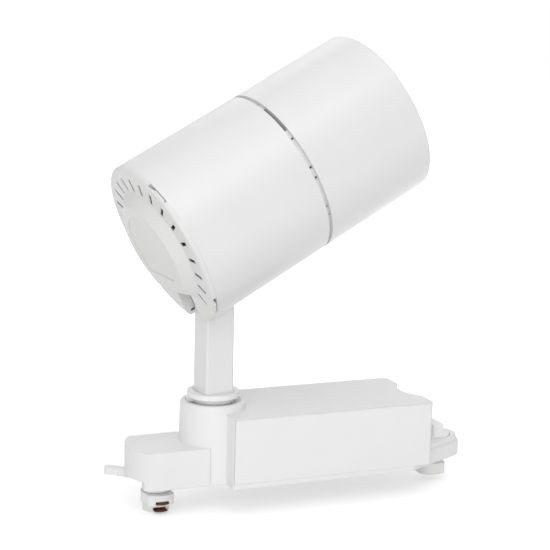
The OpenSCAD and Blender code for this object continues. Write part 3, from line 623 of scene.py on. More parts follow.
@dataclass
class Camera:
    """The photograph's camera, fitted to its features and checked by the image points."""

    azimuth: float = 23.448
    elevation: float = 10.231
    roll: float = 1.477
    lens: float = 100.677
    sensor: float = 36.0
    place_mm: Triple = (-280.13, -722.58, 246.88)
    clip: Pair = (0.05, 50.0)

    def axes(self) -> Matrix:
        """Works out which way the camera faces.

        Returns:
            Its right, up and back directions as the columns of a matrix.
        """
        a, e, r = (math.radians(v) for v in (self.azimuth, self.elevation, self.roll))
        ahead = Vector((math.sin(a) * math.cos(e), math.cos(a) * math.cos(e), -math.sin(e)))
        right = Vector((math.cos(a), -math.sin(a), 0.0))
        up = right.cross(ahead)
        rolled_right = math.cos(r) * right + math.sin(r) * up
        rolled_up = -math.sin(r) * right + math.cos(r) * up
        return Matrix((rolled_right, rolled_up, -ahead)).transposed()

    def build(self) -> None:
        """Makes the camera and sets it as the scene's."""
        data = bpy.data.cameras.new("photo_camera")
        data.sensor_fit = "AUTO"
        data.sensor_width = self.sensor
        data.lens = self.lens
        data.clip_start, data.clip_end = self.clip
        cam = bpy.data.objects.new("photo_camera", data)
        cam.matrix_world = Matrix.Translation(Vector(self.place_mm) * MM) @ self.axes().to_4x4()
        bpy.context.scene.collection.objects.link(cam)
        bpy.context.scene.camera = cam

    def focal(self) -> float:
        """Returns the focal length in the photograph's pixels."""
        return FRAME_SIZE * self.lens / self.sensor

    def seen_at(self, point: Vector) -> Pair:
        """Finds where the photograph's frame shows a point in space.

        Args:
            point: The point in metres.

        Returns:
            Its x and y in the frame.
        """
        local = self.axes().transposed() @ (point - Vector(self.place_mm) * MM)
        scale = self.focal() / -local.z
        return FRAME_SIZE / 2 + local.x * scale, FRAME_SIZE / 2 - local.y * scale

    def ray(self, x: float, y: float) -> tuple[Vector, Vector]:
        """Returns the start and direction of the ray through an image point."""
        ahead = Vector((x - FRAME_SIZE / 2, FRAME_SIZE / 2 - y, -self.focal()))
        return Vector(self.place_mm) * MM, (self.axes() @ ahead).normalized()


class Edge(Enum):
    """How an image point is read off the model: an outline's end, a corner or a middle."""

    LEFT = "left"
    RIGHT = "right"
    TOP = "top"
    BOTTOM = "bottom"
    CORNER = "corner"
    MIDDLE = "middle"


@dataclass(frozen=True)
class ImagePoint:
    """A feature of the photograph and how the model shows it."""

    name: str
    x: Optional[float]
    y: Optional[float]
    edge: Edge
    nodes: tuple[str, ...] = ()
    corner_mm: Triple = (0.0, 0.0, 0.0)


IMAGE_POINTS: tuple[ImagePoint, ...] = (
    ImagePoint("object_left", 102.7, None, Edge.LEFT),
    ImagePoint("object_right", 458.3, None, Edge.RIGHT),
    ImagePoint("object_top", None, 35.8, Edge.TOP),
    ImagePoint("object_bottom", None, 514.5, Edge.BOTTOM),
    ImagePoint("front_rim_top", 343.0, 35.8, Edge.TOP, ("front_housing",)),
    ImagePoint("front_rim_right", 430.4, 159.0, Edge.RIGHT, ("front_housing",)),
    ImagePoint("box_front_left_top", 236.0, 420.9, Edge.CORNER, ("adapter_housing",), (1.2, -28.0, 37.0)),
    ImagePoint("box_front_right_top", 433.5, 403.2, Edge.CORNER, ("adapter_housing",), (115.4, -28.0, 37.0)),
    ImagePoint("box_front_left_bottom", 233.6, 490.6, Edge.CORNER, ("base_plate",), (1.2, -28.0, 0.0)),
    ImagePoint("box_back_right_top", 386.0, 378.4, Edge.CORNER, ("adapter_housing",), (115.4, 28.0, 37.0)),
    ImagePoint("block_front_left_top", 150.9, 454.6, Edge.CORNER, ("adapter_housing",), (-40.2, -17.6, 19.8)),
    ImagePoint("flange_left", 185.8, None, Edge.LEFT, ("swivel_collar",)),
    ImagePoint("flange_right", 238.2, None, Edge.RIGHT, ("swivel_collar",)),
    ImagePoint("tongue_tip", 458.3, None, Edge.RIGHT, ("base_plate",)),
    ImagePoint("lock_foot_right", 443.9, None, Edge.RIGHT, ("lock_foot",)),
    ImagePoint("lock_foot_left", 415.8, None, Edge.LEFT, ("lock_foot",)),
    ImagePoint("lever_tip", 102.7, None, Edge.LEFT, ("contact_lever",)),
    ImagePoint("upper_strip", 164.0, 504.4, Edge.MIDDLE, ("contact_strip_0",)),
    ImagePoint("snap_tab", 156.5, 196.0, Edge.MIDDLE, ("snap_tab_0",)),
    ImagePoint("foot_bead", 214.0, 393.5, Edge.MIDDLE, ("arm_foot_bead",)),
)


def finished(
    things: Iterable[bpy.types.Object],
) -> Iterator[tuple[list[Vector], list[list[int]]]]:
    """Yields each object's final vertices in world space, and its faces.

    Args:
        things: Mesh objects.

    Yields:
        The vertices, and for each face its vertices' numbers.
    """
    depsgraph = bpy.context.evaluated_depsgraph_get()
    for thing in things:
        final = thing.evaluated_get(depsgraph)
        mesh = final.to_mesh()
        spots = [final.matrix_world @ v.co for v in mesh.vertices]
        faces = [list(f.vertices) for f in mesh.polygons]
        final.to_mesh_clear()
        yield spots, faces


class PhotoCheck:
    """Measures how far each image point of the model lies from the photograph's."""

    def __init__(self, camera: Camera) -> None:
        """Keeps the camera that the points are seen through."""
        self.camera = camera

    def corners(self, names: Sequence[str]) -> list[Vector]:
        """Returns the finished vertices of the named nodes or, with no name, of every piece.

        Args:
            names: Node or piece names.

        Returns:
            The vertices in world space.
        """
        things = [frame["nodes"].get(n) or bpy.data.objects[n] for n in names]
        if not names:
            meshes = (o for o in bpy.context.scene.objects if o.type == "MESH")
            things = [o for o in meshes if not o.hide_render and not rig.is_stage(o)]
        return [spot for spots, _ in finished(things) for spot in spots]

    def measure(self, point: ImagePoint) -> Pair:
        """Finds where the model shows one image point.

        Args:
            point: The image point.

        Returns:
            Its x and y in the photograph's frame.
        """
        spots = self.corners(point.nodes)
        if point.edge is Edge.CORNER:
            goal = Vector(point.corner_mm) * MM
            return self.camera.seen_at(min(spots, key=lambda p: (p - goal).length))
        seen = [self.camera.seen_at(p) for p in spots]
        if point.edge is Edge.MIDDLE:
            return tuple((min(values) + max(values)) / 2 for values in zip(*seen))
        order: dict[Edge, Callable[[Pair], float]] = {
            Edge.LEFT: lambda p: p[0],
            Edge.RIGHT: lambda p: -p[0],
            Edge.TOP: lambda p: p[1],
            Edge.BOTTOM: lambda p: -p[1],
        }
        return min(seen, key=order[point.edge])

    def write(self, path: str) -> None:
        """Writes each point's error in x and y.

        Args:
            path: The file to write.
        """
        rows = {}
        for point in IMAGE_POINTS:
            x, y = self.measure(point)
            rows[point.name] = {
                "dx": None if point.x is None else round(x - point.x, 2),
                "dy": None if point.y is None else round(y - point.y, 2),
            }
        with open(path, "w") as file:
            json.dump(rows, file, indent=1)
        log.info("image points: %s", rows)


# ---------------- places and meshes


class Placer:
    """Finds where an image point lies on the finished surfaces that carry a piece."""

    def __init__(self, camera: Camera, carriers: Sequence[str]) -> None:
        """Gathers the carriers as they are finished and placed.

        Args:
            camera: The photograph's camera.
            carriers: The CAD nodes that carry the piece.
        """
        corners: list[Vector] = []
        faces: list[list[int]] = []
        for spots, polygons in finished(frame["nodes"][name] for name in carriers):
            faces += [[len(corners) + i for i in polygon] for polygon in polygons]
            corners += spots
        self.camera = camera
        self.corners = corners
        self.tree = BVHTree.FromPolygons(corners, faces)

    def spot(self, name: str) -> Vector:
        """Returns the place on the carriers that a named image point shows.

        Args:
            name: The image point's name.

        Returns:
            The place that the ray meets, or on a miss the carriers' corner nearest the ray.
        """
        point = next(p for p in IMAGE_POINTS if p.name == name)
        start, ahead = self.camera.ray(point.x, point.y)
        hit = self.tree.ray_cast(start, ahead)[0]
        if hit is not None:
            return hit
        return min(self.corners, key=lambda p: (p - start).cross(ahead).length)


@dataclass(frozen=True)
class Axes:
    """A place and three directions in which a piece is drawn, in millimetres."""

    origin: Vector
    x: Vector
    y: Vector
    z: Vector

    def point(self, x: float, y: float, z: float) -> Vector:
        """Returns the place in metres of a point drawn in these axes."""
        return self.origin + (x * self.x + y * self.y + z * self.z) * MM

    def local(self, place: Vector) -> Vector:
        """Returns a place's own coordinates in these axes."""
        away = (place - self.origin) / MM
        return Vector((away.dot(self.x), away.dot(self.y), away.dot(self.z)))

    def corners(self, node: str) -> list[Vector]:
        """Returns a CAD node's corners in these axes."""
        return [self.local(v.co) for v in frame["nodes"][node].data.vertices]

    def reach(self, node: str) -> float:
        """Returns how far a CAD node's corners reach from the z axis."""
        return max(math.hypot(p.x, p.y) for p in self.corners(node))

    def span(self, node: str) -> tuple[Vector, Vector]:
        """Returns a CAD node's lowest and highest corner in these axes."""
        sides = list(zip(*self.corners(node)))
        return Vector([min(side) for side in sides]), Vector([max(side) for side in sides])


def joint_named(name: str) -> dict:
    """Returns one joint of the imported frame."""
    return next(j for j in frame["joints"] if j["name"] == name)


def arm_axes() -> Axes:
    """Finds the arm's axes at rest.

    Returns:
        Axes with z up the arm and y along the tilt bolt.
    """
    y = -Vector(joint_named("tilt")["axis"]).normalized()
    z = Vector((0.0, 0.0, 1.0))
    return Axes(Vector(), y.cross(z), y, z)


def head_axes() -> Axes:
    """Finds the head's axes at rest.

    Returns:
        Axes with z towards the light and x towards the arm.
    """
    bore = next(m for m in frame["record"]["mounts"] if m["name"] == "accessory_bore")
    z = Vector(bore["axis"]).normalized()
    y = -Vector(joint_named("tilt")["axis"]).normalized()
    return Axes(Vector(bore["pos_m"]), y.cross(z), y, z)


def polar(radius: float, angle: float) -> Pair:
    """Returns the x and y of a radius and an angle in radians."""
    return radius * math.cos(angle), radius * math.sin(angle)


def arc(first: float, last: float, steps: int) -> list[float]:
    """Returns evenly spaced angles from first to last.

    Args:
        first: The first angle in degrees.
        last: The last angle in degrees.
        steps: Steps between them.

    Returns:
        The angles in radians, both ends included.
    """
    return [math.radians(first + (last - first) * k / steps) for k in range(steps + 1)]


class Shape:
    """A mesh that is drawn in closed rows of corners in a set of axes."""

    def __init__(self, name: str, axes: Axes) -> None:
        """Starts an empty mesh.

        Args:
            name: The piece's name.
            axes: The axes that its rows are given in.
        """
        self.name = name
        self.axes = axes
        self.mesh = bmesh.new()

    def row(self, spots: Iterable[Triple]) -> Row:
        """Adds a row of corners, in millimetres."""
        return [self.mesh.verts.new(self.axes.point(*p)) for p in spots]

    def skin(self, rows: Sequence[Row], round_all: bool = False) -> None:
        """Joins neighbouring rows with quads.

        Args:
            rows: Closed rows of equal length.
            round_all: True where the last row joins the first.
        """
        pairs = list(zip(rows, rows[1:])) + ([(rows[-1], rows[0])] if round_all else [])
        count = len(rows[0])
        for low, high in pairs:
            for i in range(count):
                j = (i + 1) % count
                self.mesh.faces.new((low[i], low[j], high[j], high[i]))

    def bar(self, rows: Sequence[Row]) -> None:
        """Joins neighbouring rows with quads and closes both ends with a face.

        Args:
            rows: Closed rows of equal length.
        """
        self.skin(rows)
        self.mesh.faces.new(rows[0])
        self.mesh.faces.new(rows[-1])

    def diamonds(self, rows: Sequence[Row]) -> None:
        """Joins neighbouring rows with triangles.

        Args:
            rows: Closed rows of equal length, each turned half a step from the last.
        """
        count = len(rows[0])
        for at, (low, high) in enumerate(zip(rows, rows[1:])):
            for i in range(count):
                j = (i + 1) % count
                top, foot = (high[j], low[i]) if at % 2 else (high[i], low[j])
                self.mesh.faces.new((low[i], low[j], top))
                self.mesh.faces.new((foot, high[j], high[i]))

    def lathe(self, profile: Sequence[Pair], steps: int, centre: Pair = (0.0, 0.0)) -> None:
        """Turns an open profile that starts and ends on the axis, or a closed one, about z.

        Args:
            profile: Radius and z of each point. Radius 0 closes with one face.
            steps: Steps round the axis.
            centre: The axis's x and y.
        """
        rows = []
        for r, z in profile:
            if r > 0:
                turn = [polar(r, math.tau * i / steps) for i in range(steps)]
                rows.append(self.row((centre[0] + x, centre[1] + y, z) for x, y in turn))
        if profile[0][0] == 0 or profile[-1][0] == 0:
            self.bar(rows)
        else:
            self.skin(rows, round_all=True)

    def place(
        self, body: str, paint: Paintbox, finish: Finish, slot: str, smooth: float = 40.0
    ) -> bpy.types.Object:
        """Makes the piece and lets it ride on its body.

        Args:
            body: The CAD body that it rides on.
            paint: The scene's paintbox.
            finish: Its finish.
            slot: The record's material slot that the finish stands for.
            smooth: Edges sharper than this many degrees stay sharp.

        Returns:
            The new object.
        """
        bmesh.ops.recalc_face_normals(self.mesh, faces=self.mesh.faces)
        sharp = math.radians(smooth)
        for edge in self.mesh.edges:
            edge.smooth = len(edge.link_faces) == 2 and edge.calc_face_angle(0.0) < sharp
        for face in self.mesh.faces:
            face.smooth = True
        data = bpy.data.meshes.new(self.name)
        self.mesh.to_mesh(data)
        self.mesh.free()
        thing = bpy.data.objects.new(self.name, data)
        bpy.context.scene.collection.objects.link(thing)
        paint.coat(thing, finish)
        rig.ride(thing, body)
        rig.slot(thing, slot)
        log.info("piece %s on %s: %d faces", self.name, body, len(data.polygons))
        return thing


# ---------------- studio


@dataclass(frozen=True)
class Lamp:
    """A soft square lamp: its place and side in metres and its power in watts."""

    name: str
    place: Triple
    side: float
    power: float
    aim: Triple = (0.03, 0.0, 0.09)

    def build(self) -> None:
        """Makes the lamp and turns it to the object."""
        data = bpy.data.lights.new(self.name, "AREA")
        data.shape = "SQUARE"
        data.size = self.side
        data.energy = self.power
        light = bpy.data.objects.new(self.name, data)
        light.location = self.place
        light.rotation_mode = "QUATERNION"
        away = Vector(self.place) - Vector(self.aim)
        light.rotation_quaternion = away.to_track_quat("Z", "Y")
        bpy.context.scene.collection.objects.link(light)


LAMPS = (
    Lamp("key_lamp", (-0.7, -1.3, 0.9), 1.2, 4.7),
    Lamp("low_lamp", (-0.5, -1.0, 0.03), 0.7, 4.2),
    Lamp("high_lamp", (-0.1, -0.9, 1.3), 0.8, 2.4),
    Lamp("top_lamp", (0.0, -0.1, 1.6), 1.4, 3.7),
    Lamp("back_lamp", (0.4, 1.0, 1.0), 0.8, 1.4),
)


@dataclass
class Studio:
    """A pale floor, a white surround and soft lamps, with sizes in metres."""

    ambient: float = 0.5
    floor_z: float = CAD_BOX[0].z - FLOOR_GAP
    floor_size: float = 8.0
    floor_tone: float = 0.9
    lift: float = 0.38
    fade: Pair = (0.15, 0.5)

    def world(self) -> None:
        """Lights the object evenly and shows white behind it."""
        world = bpy.data.worlds.new("studio_world")
        world.use_nodes = True
        tree = world.node_tree
        tree.nodes.clear()
        out = tree.nodes.new("ShaderNodeOutputWorld")
        mix = tree.nodes.new("ShaderNodeMixShader")
        tree.links.new(self.seen_directly(tree), mix.inputs["Fac"])
        for strength, target in ((self.ambient, mix.inputs[1]), (1.0, mix.inputs[2])):
            shade = tree.nodes.new("ShaderNodeBackground")
            shade.inputs["Strength"].default_value = strength
            shade.inputs["Color"].default_value = WHITE
            tree.links.new(shade.outputs[0], target)
        tree.links.new(mix.outputs[0], out.inputs["Surface"])
        bpy.context.scene.world = world

    def seen_directly(self, tree: bpy.types.NodeTree) -> Socket:
        """Tells the rays that show a surface from those that only light it.

        Args:
            tree: The node tree.

        Returns:
            A socket that is 1 for camera, mirror and glass rays.
        """
        path = tree.nodes.new("ShaderNodeLightPath")
        total = path.outputs["Is Camera Ray"]
        for name in ("Is Glossy Ray", "Is Transmission Ray"):
            add = tree.nodes.new("ShaderNodeMath")
            add.operation = "ADD"
            add.use_clamp = True
            tree.links.new(total, add.inputs[0])
            tree.links.new(path.outputs[name], add.inputs[1])
            total = add.outputs[0]
        return total

    def floor_paint(self) -> bpy.types.Material:
        """Makes the floor's white, which glows where it is seen far from the object.

        Returns:
            The new material.
        """
        sheet = NodeSheet("floor_white")
        matt = sheet.add("BsdfDiffuse", Color=(*(self.floor_tone,) * 3, 1.0))
        glow = sheet.add("Emission", Color=WHITE)
        away = sheet.add("VectorMath", operation="LENGTH")
        sheet.join(sheet.coords(), away.inputs[0])
        rise = sheet.remap(away.outputs["Value"], self.fade, (self.lift, 1.0))
        strength = sheet.product(self.seen_directly(sheet.tree), rise)
        sheet.join(strength, glow.inputs["Strength"])
        both = sheet.add("AddShader")
        sheet.join(matt.outputs[0], both.inputs[0])
        sheet.join(glow.outputs[0], both.inputs[1])
        sheet.join(both.outputs[0], sheet.output.inputs["Surface"])
        return sheet.material

    def floor(self) -> None:
        """Makes the floor, which keeps the object's shadow."""
        mesh = bpy.data.meshes.new("studio_floor")
        half = self.floor_size / 2
        corners = [(-half, -half, 0), (half, -half, 0), (half, half, 0), (-half, half, 0)]
        mesh.from_pydata(corners, [], [(0, 1, 2, 3)])
        floor = bpy.data.objects.new("studio_floor", mesh)
        floor.location.z = self.floor_z
        bpy.context.scene.collection.objects.link(floor)
        mesh.materials.append(self.floor_paint())
        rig.stage(floor)

    def build(self) -> None:
        """Sets the whole studio."""
        bpy.context.scene.view_settings.view_transform = "Standard"
        self.world()
        self.floor()
        for lamp in LAMPS:
            lamp.build()


# ---------------- sub-assemblies, with their sizes in millimetres


@dataclass
class Adapter:
    """The housing with its cover, base, driver and screws."""

    paint: Paintbox

    def dress(self) -> None:
        """Gives each of the adapter's CAD nodes its finish."""
        self.paint.coat_nodes(WHITE_PLASTIC, "adapter_housing", "side_cover", "base_plate")
        self.paint.coat_nodes(ZINC_STEEL, "base_screws")
        self.paint.coat_nodes(SOLDER_MASK, "driver_board")
        self.paint.coat_nodes(FERRITE, "driver_transformer", "driver_choke")
        self.paint.coat_nodes(CAN_SLEEVE, "driver_capacitors")
        self.paint.coat_nodes(GREY_PLASTIC, "thrust_washer")


@dataclass
class Contacts:
    """The turning contact block with its lever and its sprung copper strips.

    The lower strip reaches low_reach of the upper one's way and is low_share of its height.
    A strip is lower at its sides by side_fall of its height, and its front keeps within
    front_share of the blade's. hem is how far its underside runs back from the nose.
    """

    paint: Paintbox
    camera: Camera
    strip_t: float = 0.45
    least_inner: float = 0.08
    columns: int = 12
    nose_steps: int = 9
    low_reach: float = 0.84
    low_share: float = 0.55
    side_fall: float = 0.62
    front_share: float = 0.992
    hem: float = 3.2

    def dress(self) -> None:
        """Gives the rotor, lever and clip their finishes and makes the strips."""
        self.paint.coat_nodes(GREY_PLASTIC, "contact_rotor")
        self.paint.coat_nodes(RIBBED_PLASTIC, "contact_lever")
        self.paint.coat_nodes(ZINC_STEEL, "rotor_clip")
        self.strips()

    def strips(self) -> None:
        """Makes the two bowed strips that stand for the plain blades."""
        pin = Vector(joint_named("contact_turn")["pos_m"])
        axes = Axes(pin, *(Vector(row) for row in Matrix.Identity(3)))
        low, high = axes.span("contact_blades")
        levels = sorted({round(p.z, 3) for p in axes.corners("contact_blades")})
        carriers = Placer(self.camera, ("contact_rotor", "contact_blades"))
        seen_z = axes.local(carriers.spot("upper_strip")).z
        blades = sorted((levels[:2], levels[-2:]), key=lambda b: abs(sum(b) / 2 - seen_z))
        made = []
        for index, ((bottom, top), share) in enumerate(zip(blades, (1.0, self.low_share))):
            level = bottom, bottom + share * (top - bottom)
            made.append(self.strip(axes, index, low, high, level))
        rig.replaces(made[0], "contact_blades")

    def strip(
        self, axes: Axes, index: int, low: Vector, high: Vector, level: Pair
    ) -> bpy.types.Object:
        """Makes one strip, bent back on itself at its bowed nose.

        Args:
            axes: The rotor's axes.
            index: The strip's number.
            low: The blades' lowest corner.
            high: The blades' highest corner.
            level: The strip's underside and top.

        Returns:
            The strip.
        """
        shape = Shape(f"contact_strip_{index}", axes)
        middle, rise = sum(level) / 2, (level[1] - level[0]) / 2
        reach = -low.y * (self.low_reach if index else 1.0)
        half = (high.x - low.x) / 2
        nose = arc(90, 270, self.nose_steps)
        rows = []
        for column in range(self.columns + 1):
            x = half * (2 * column / self.columns - 1)
            thick = rise * (1.0 - self.side_fall * (x / half) ** 2)
            inner = max(thick - self.strip_t, self.least_inner)
            front = -math.sqrt(reach * reach - x * x) * self.front_share
            outer, inside = (
                [(front + thick + y, middle + z) for y, z in (polar(r, a) for a in nose)]
                for r in (thick, inner)
            )
            back = [(front + self.hem, middle - r) for r in (thick, inner)]
            ends = [(high.y, middle + r) for r in (inner, thick)]
            outline = outer + back + inside[::-1] + ends
            rows.append(shape.row((x, y, z) for y, z in outline))
        shape.bar(rows)
        return shape.place("contact", self.paint, COPPER_STRIP, "copper")


@dataclass
class Lock:
    """The knob and the foot that lock the adapter in its track."""

    paint: Paintbox

    def dress(self) -> None:
        """Gives the knob, foot and screw their finishes."""
        self.paint.coat_nodes(GREY_PLASTIC, "lock_knob", "lock_foot")
        self.paint.coat_nodes(ZINC_STEEL, "lock_screw")


@dataclass
class Arm:
    """The swivel joint and the square arm."""

    paint: Paintbox
    camera: Camera
    bead: float = 1.1
    bead_sink: float = 0.4
    bead_steps: int = 6
    chamfer: float = 1.0

    def bead_outline(self, grow: float, z: float, low: Vector, high: Vector) -> list[Triple]:
        """Returns the arm's outline at one height, grown all round.

        Args:
            grow: How far the outline grows.
            z: The height.
            low: The arm's lowest corner.
            high: The arm's highest corner.

        Returns:
            Eight corners.
        """
        x, y = (high.x - low.x) / 2 + grow, (high.y - low.y) / 2 + grow
        cut = self.chamfer + grow * (2 - math.sqrt(2))
        half = [(x, y - cut), (x - cut, y), (cut - x, y), (-x, y - cut)]
        return [(side * px, side * py, z) for side in (1, -1) for px, py in half]

    def foot_bead(self) -> None:
        """Makes the soft bead of paint round the arm's foot."""
        axes = arm_axes()
        low, high = axes.span("arm_post")
        seen = axes.local(Placer(self.camera, ("arm_post", "swivel_collar")).spot("foot_bead"))
        log.info("the bead's image point is %.1f mm above the arm's foot", seen.z - low.z)
        shape = Shape("arm_foot_bead", axes)
        profile = [
            (self.bead * (1 - math.sin(a)), low.z + self.bead * (1 - math.cos(a)))
            for a in arc(0, 90, self.bead_steps)
        ]
        profile += [(-self.bead_sink, low.z + self.bead), (-self.bead_sink, low.z)]
        rows = [shape.row(self.bead_outline(grow, z, low, high)) for grow, z in profile]
        shape.skin(rows, round_all=True)
        shape.place("arm", self.paint, WHITE_PAINT, "white_paint", smooth=60.0)

    def dress(self) -> None:
        """Gives the arm's CAD nodes their finishes and makes the bead."""
        self.foot_bead()
        self.paint.coat_nodes(WHITE_PAINT, "arm_post")
        self.paint.coat_nodes(LIT_COLLAR_PAINT, "swivel_collar")
        self.paint.coat_nodes(ZINC_STEEL, "swivel_spindle", "swivel_washer", "swivel_nut")
        self.paint.coat_nodes(DARK_RUBBER, "wire_bush")
        self.paint.coat_nodes(WIRE_SLEEVE, "arm_wires")


@dataclass
class Reflector:
    """The faceted reflector that stands for the plain one."""

    paint: Paintbox
    axes: Axes
    facets: int = 30
    bands: int = 9
    wall: float = 0.9
    rim_gap: float = 0.1
    end_band: float = 0.5

    def turned(self, shape: Shape, r: float, z: float, half_step: int) -> Row:
        """Adds a closed row of facet corners, turned half a step where asked."""
        angles = (math.tau * (i + half_step / 2) / self.facets for i in range(self.facets))
        return shape.row((*polar(r, a), z) for a in angles)

    def bowl(self, low_z: float, high_z: float) -> list[Pair]:
        """Works out the radius and z of each facet row, along a parabola.

        Args:
            low_z: The reflector's lower end.
            high_z: The reflector's upper end.

        Returns:
            The rows, from the LED outwards.
        """
        radii = [(math.hypot(p.x, p.y), p.z) for p in self.axes.corners("reflector")]
        inner = min(r for r, z in radii if z < low_z + self.end_band)
        outer = min(r for r, z in radii if z > high_z - self.end_band)
        rows = []
        for band in range(self.bands + 1):
            r = inner + (outer - inner) * (band / self.bands)
            rows.append((r, low_z + (high_z - low_z) * (r * r - inner**2) / (outer**2 - inner**2)))
        return rows

    def build(self) -> None:
        """Makes the bowl, its back and its rim."""
        low, high = self.axes.span("reflector")
        shape = Shape("facet_reflector", self.axes)
        bowl = self.bowl(low.z, high.z)
        rows = [self.turned(shape, r, z, band % 2) for band, (r, z) in enumerate(bowl)]
        shape.diamonds(rows)
        rim_r = self.axes.reach("reflector") - self.rim_gap
        outside = [(rim_r, high.z), (rim_r, high.z - self.wall)]
        outside += [(r + self.wall, min(z, high.z - self.wall)) for r, z in reversed(bowl)]
        turn = self.bands % 2
        back = [self.turned(shape, r, z, turn) for r, z in outside]
        shape.skin([rows[-1]] + back)
        foot = self.turned(shape, *bowl[0], turn) if turn else rows[0]
        shape.skin([back[-1], foot])
        bmesh.ops.remove_doubles(shape.mesh, verts=shape.mesh.verts, dist=WELD)
        made = shape.place("head", self.paint, MIRROR_COAT, "mirror_coat", smooth=0.5)
        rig.replaces(made, "reflector")


@dataclass
class LightEngine:
    """The LED board with its dam, phosphor dome and two solder pads.

    pad holds the radii and heights over the board of a pad's blob, and sunk is how far a
    piece goes into the board.
    """

    paint: Paintbox
    axes: Axes
    board_drop: float = 0.8
    corner_r: float = 2.0
    corner_steps: int = 5
    dam_wide: float = 1.0
    dam_high: float = 0.7
    dam_steps: int = 6
    dome_gap: float = 0.7
    dome_foot: float = 0.35
    dome_rise: float = 0.25
    dome_angles: tuple[int, ...] = (0, 20, 40, 60, 75, 87)
    round_steps: int = 48
    pad: tuple[Pair, ...] = ((1.3, 0.25), (0.8, 0.42), (0.25, 0.48), (0.0, 0.5))
    pad_r: float = 1.5
    pad_inset: float = 3.0
    pad_steps: int = 20
    sunk: float = 0.01
    top_band: float = 0.1

    def board(self, half: float, low_z: float, top: float) -> None:
        """Makes the board, with round corners.

        Args:
            half: Half its side.
            low_z: Its underside.
            top: Its top.
        """
        board = Shape("led_board", self.axes)
        flat = half - self.corner_r
        outline = []
        for sx, sy, first in ((1, 1, 0), (-1, 1, 90), (-1, -1, 180), (1, -1, 270)):
            for a in arc(first, first + 90, self.corner_steps):
                x, y = polar(self.corner_r, a)
                outline.append((sx * flat + x, sy * flat + y))
        board.bar([board.row((x, y, z) for x, y in outline) for z in (low_z, top)])
        made = board.place("head", self.paint, BOARD_WHITE, "led")
        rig.replaces(made, "led_module")

    def build(self) -> None:
        """Makes the light engine's pieces."""
        low, high = self.axes.span("led_module")
        half, top = (high.x - low.x) / 2, high.z - self.board_drop
        self.board(half, low.z, top)
        spots = self.axes.corners("led_module")
        disc = max(math.hypot(p.x, p.y) for p in spots if p.z > high.z - self.top_band)
        foot = top - self.sunk
        dam = Shape("led_dam", self.axes)
        r = self.dam_wide / 2
        section = [
            (disc - r + r * math.cos(a), foot + self.dam_high * math.sin(a))
            for a in arc(0, 180, self.dam_steps)
        ]
        dam.lathe(section, self.round_steps)
        dam.place("head", self.paint, BOARD_WHITE, "led", smooth=60.0)
        dome = Shape("led_phosphor", self.axes)
        lens_r = disc - self.dome_gap
        lens = [
            (lens_r * math.cos(a), top + (self.dome_foot + self.dome_rise * math.sin(a)))
            for a in map(math.radians, self.dome_angles)
        ]
        crown = top + (self.dome_foot + self.dome_rise)
        dome.lathe([(0.0, foot), (lens[0][0], foot)] + lens + [(0.0, crown)], self.round_steps)
        dome.place("head", self.paint, PHOSPHOR, "led", smooth=60.0)
        for index, side in enumerate((-1, 1)):
            pad = Shape(f"led_pad_{index}", self.axes)
            spot = (side * (half - self.pad_inset), -side * (half - self.pad_inset))
            blob = [(r, top + h) for r, h in self.pad]
            pad.lathe([(0.0, foot), (self.pad_r, foot)] + blob, self.pad_steps, spot)
            pad.place("head", self.paint, SOLDER, "steel", smooth=60.0)


@dataclass
class SnapTabs:
    """The tab in each window of the cap's rim.

    round_r is the rim's outer radius, and seam_z is where the cap meets the housing. Corners
    of a window's floor lie floor_depth under the rim. Those more than window_split radians
    apart are in different windows, and a window spans more than window_least.
    """

    paint: Paintbox
    axes: Axes
    round_r: float
    seam_z: float
    length: float = 8.6
    thickness: float = 0.9
    width: float = 1.35
    steps: int = 8
    drop: float = 0.4
    gap: float = 0.25
    chamfer: float = 0.3
    end_cut: float = 0.25
    shift: float = 1.9
    seam_band: float = 0.3
    floor_depth: Pair = (1.9, 2.3)
    window_split: float = 0.4
    window_least: float = 0.15

    def build(self, seen: Vector) -> None:
        """Makes the tabs, numbered from the one that the photograph shows.

        Args:
            seen: Where the photograph shows its tab, in the head's axes.
        """
        shown = math.atan2(seen.y, seen.x)
        middles = self.windows()
        middles.sort(key=lambda a: abs(math.remainder(a - shown, math.tau)))
        log.info("snap windows at %s degrees", [round(math.degrees(a)) for a in middles])
        for index, angle in enumerate(middles):
            self.tab(index, angle)

    def windows(self) -> list[float]:
        """Finds the windows in the cap's rim.

        Returns:
            The middle angle of each, in radians.
        """
        least, most = self.floor_depth
        floor = [
            math.atan2(p.y, p.x)
            for p in self.axes.corners("rear_cap")
            if abs(p.z - self.seam_z) < self.seam_band
            and least < self.round_r - math.hypot(p.x, p.y) < most
        ]
        groups: list[list[float]] = []
        for angle in sorted(floor):
            if groups and angle - groups[-1][-1] < self.window_split:
                groups[-1].append(angle)
            else:
                groups.append([angle])
        return [(g[0] + g[-1]) / 2 for g in groups if g[-1] - g[0] > self.window_least]

    def tab(self, index: int, angle: float) -> None:
        """Makes one tab: a chamfered bar that follows the rim, clear of the latch hole.

        Args:
            index: The tab's number.
            angle: The window's middle angle.
        """
        shape = Shape(f"snap_tab_{index}", self.axes)
        top, edge = self.round_r - self.drop, self.chamfer
        bottom = top - self.thickness
        away = -1 if math.sin(angle) > 0 else 1
        middle = angle + away * self.shift / self.round_r
        rows = []
        for step in range(self.steps + 1):
            a = middle + self.length / self.round_r * (step / self.steps - 0.5)
            cut = self.end_cut if step in (0, self.steps) else 0.0
            high_z = self.seam_z - self.gap - cut
            low_z = self.seam_z - self.gap - self.width + cut
            section = [
                (bottom, low_z),
                (top - edge - cut, low_z),
                (top - cut, low_z + edge),
                (top - cut, high_z - edge),
                (top - edge - cut, high_z),
                (bottom, high_z),
            ]
            rows.append(shape.row((*polar(r, a), z) for r, z in section))
        shape.bar(rows)
        shape.place("head", self.paint, CAP_PLASTIC, "white_plastic", smooth=50.0)


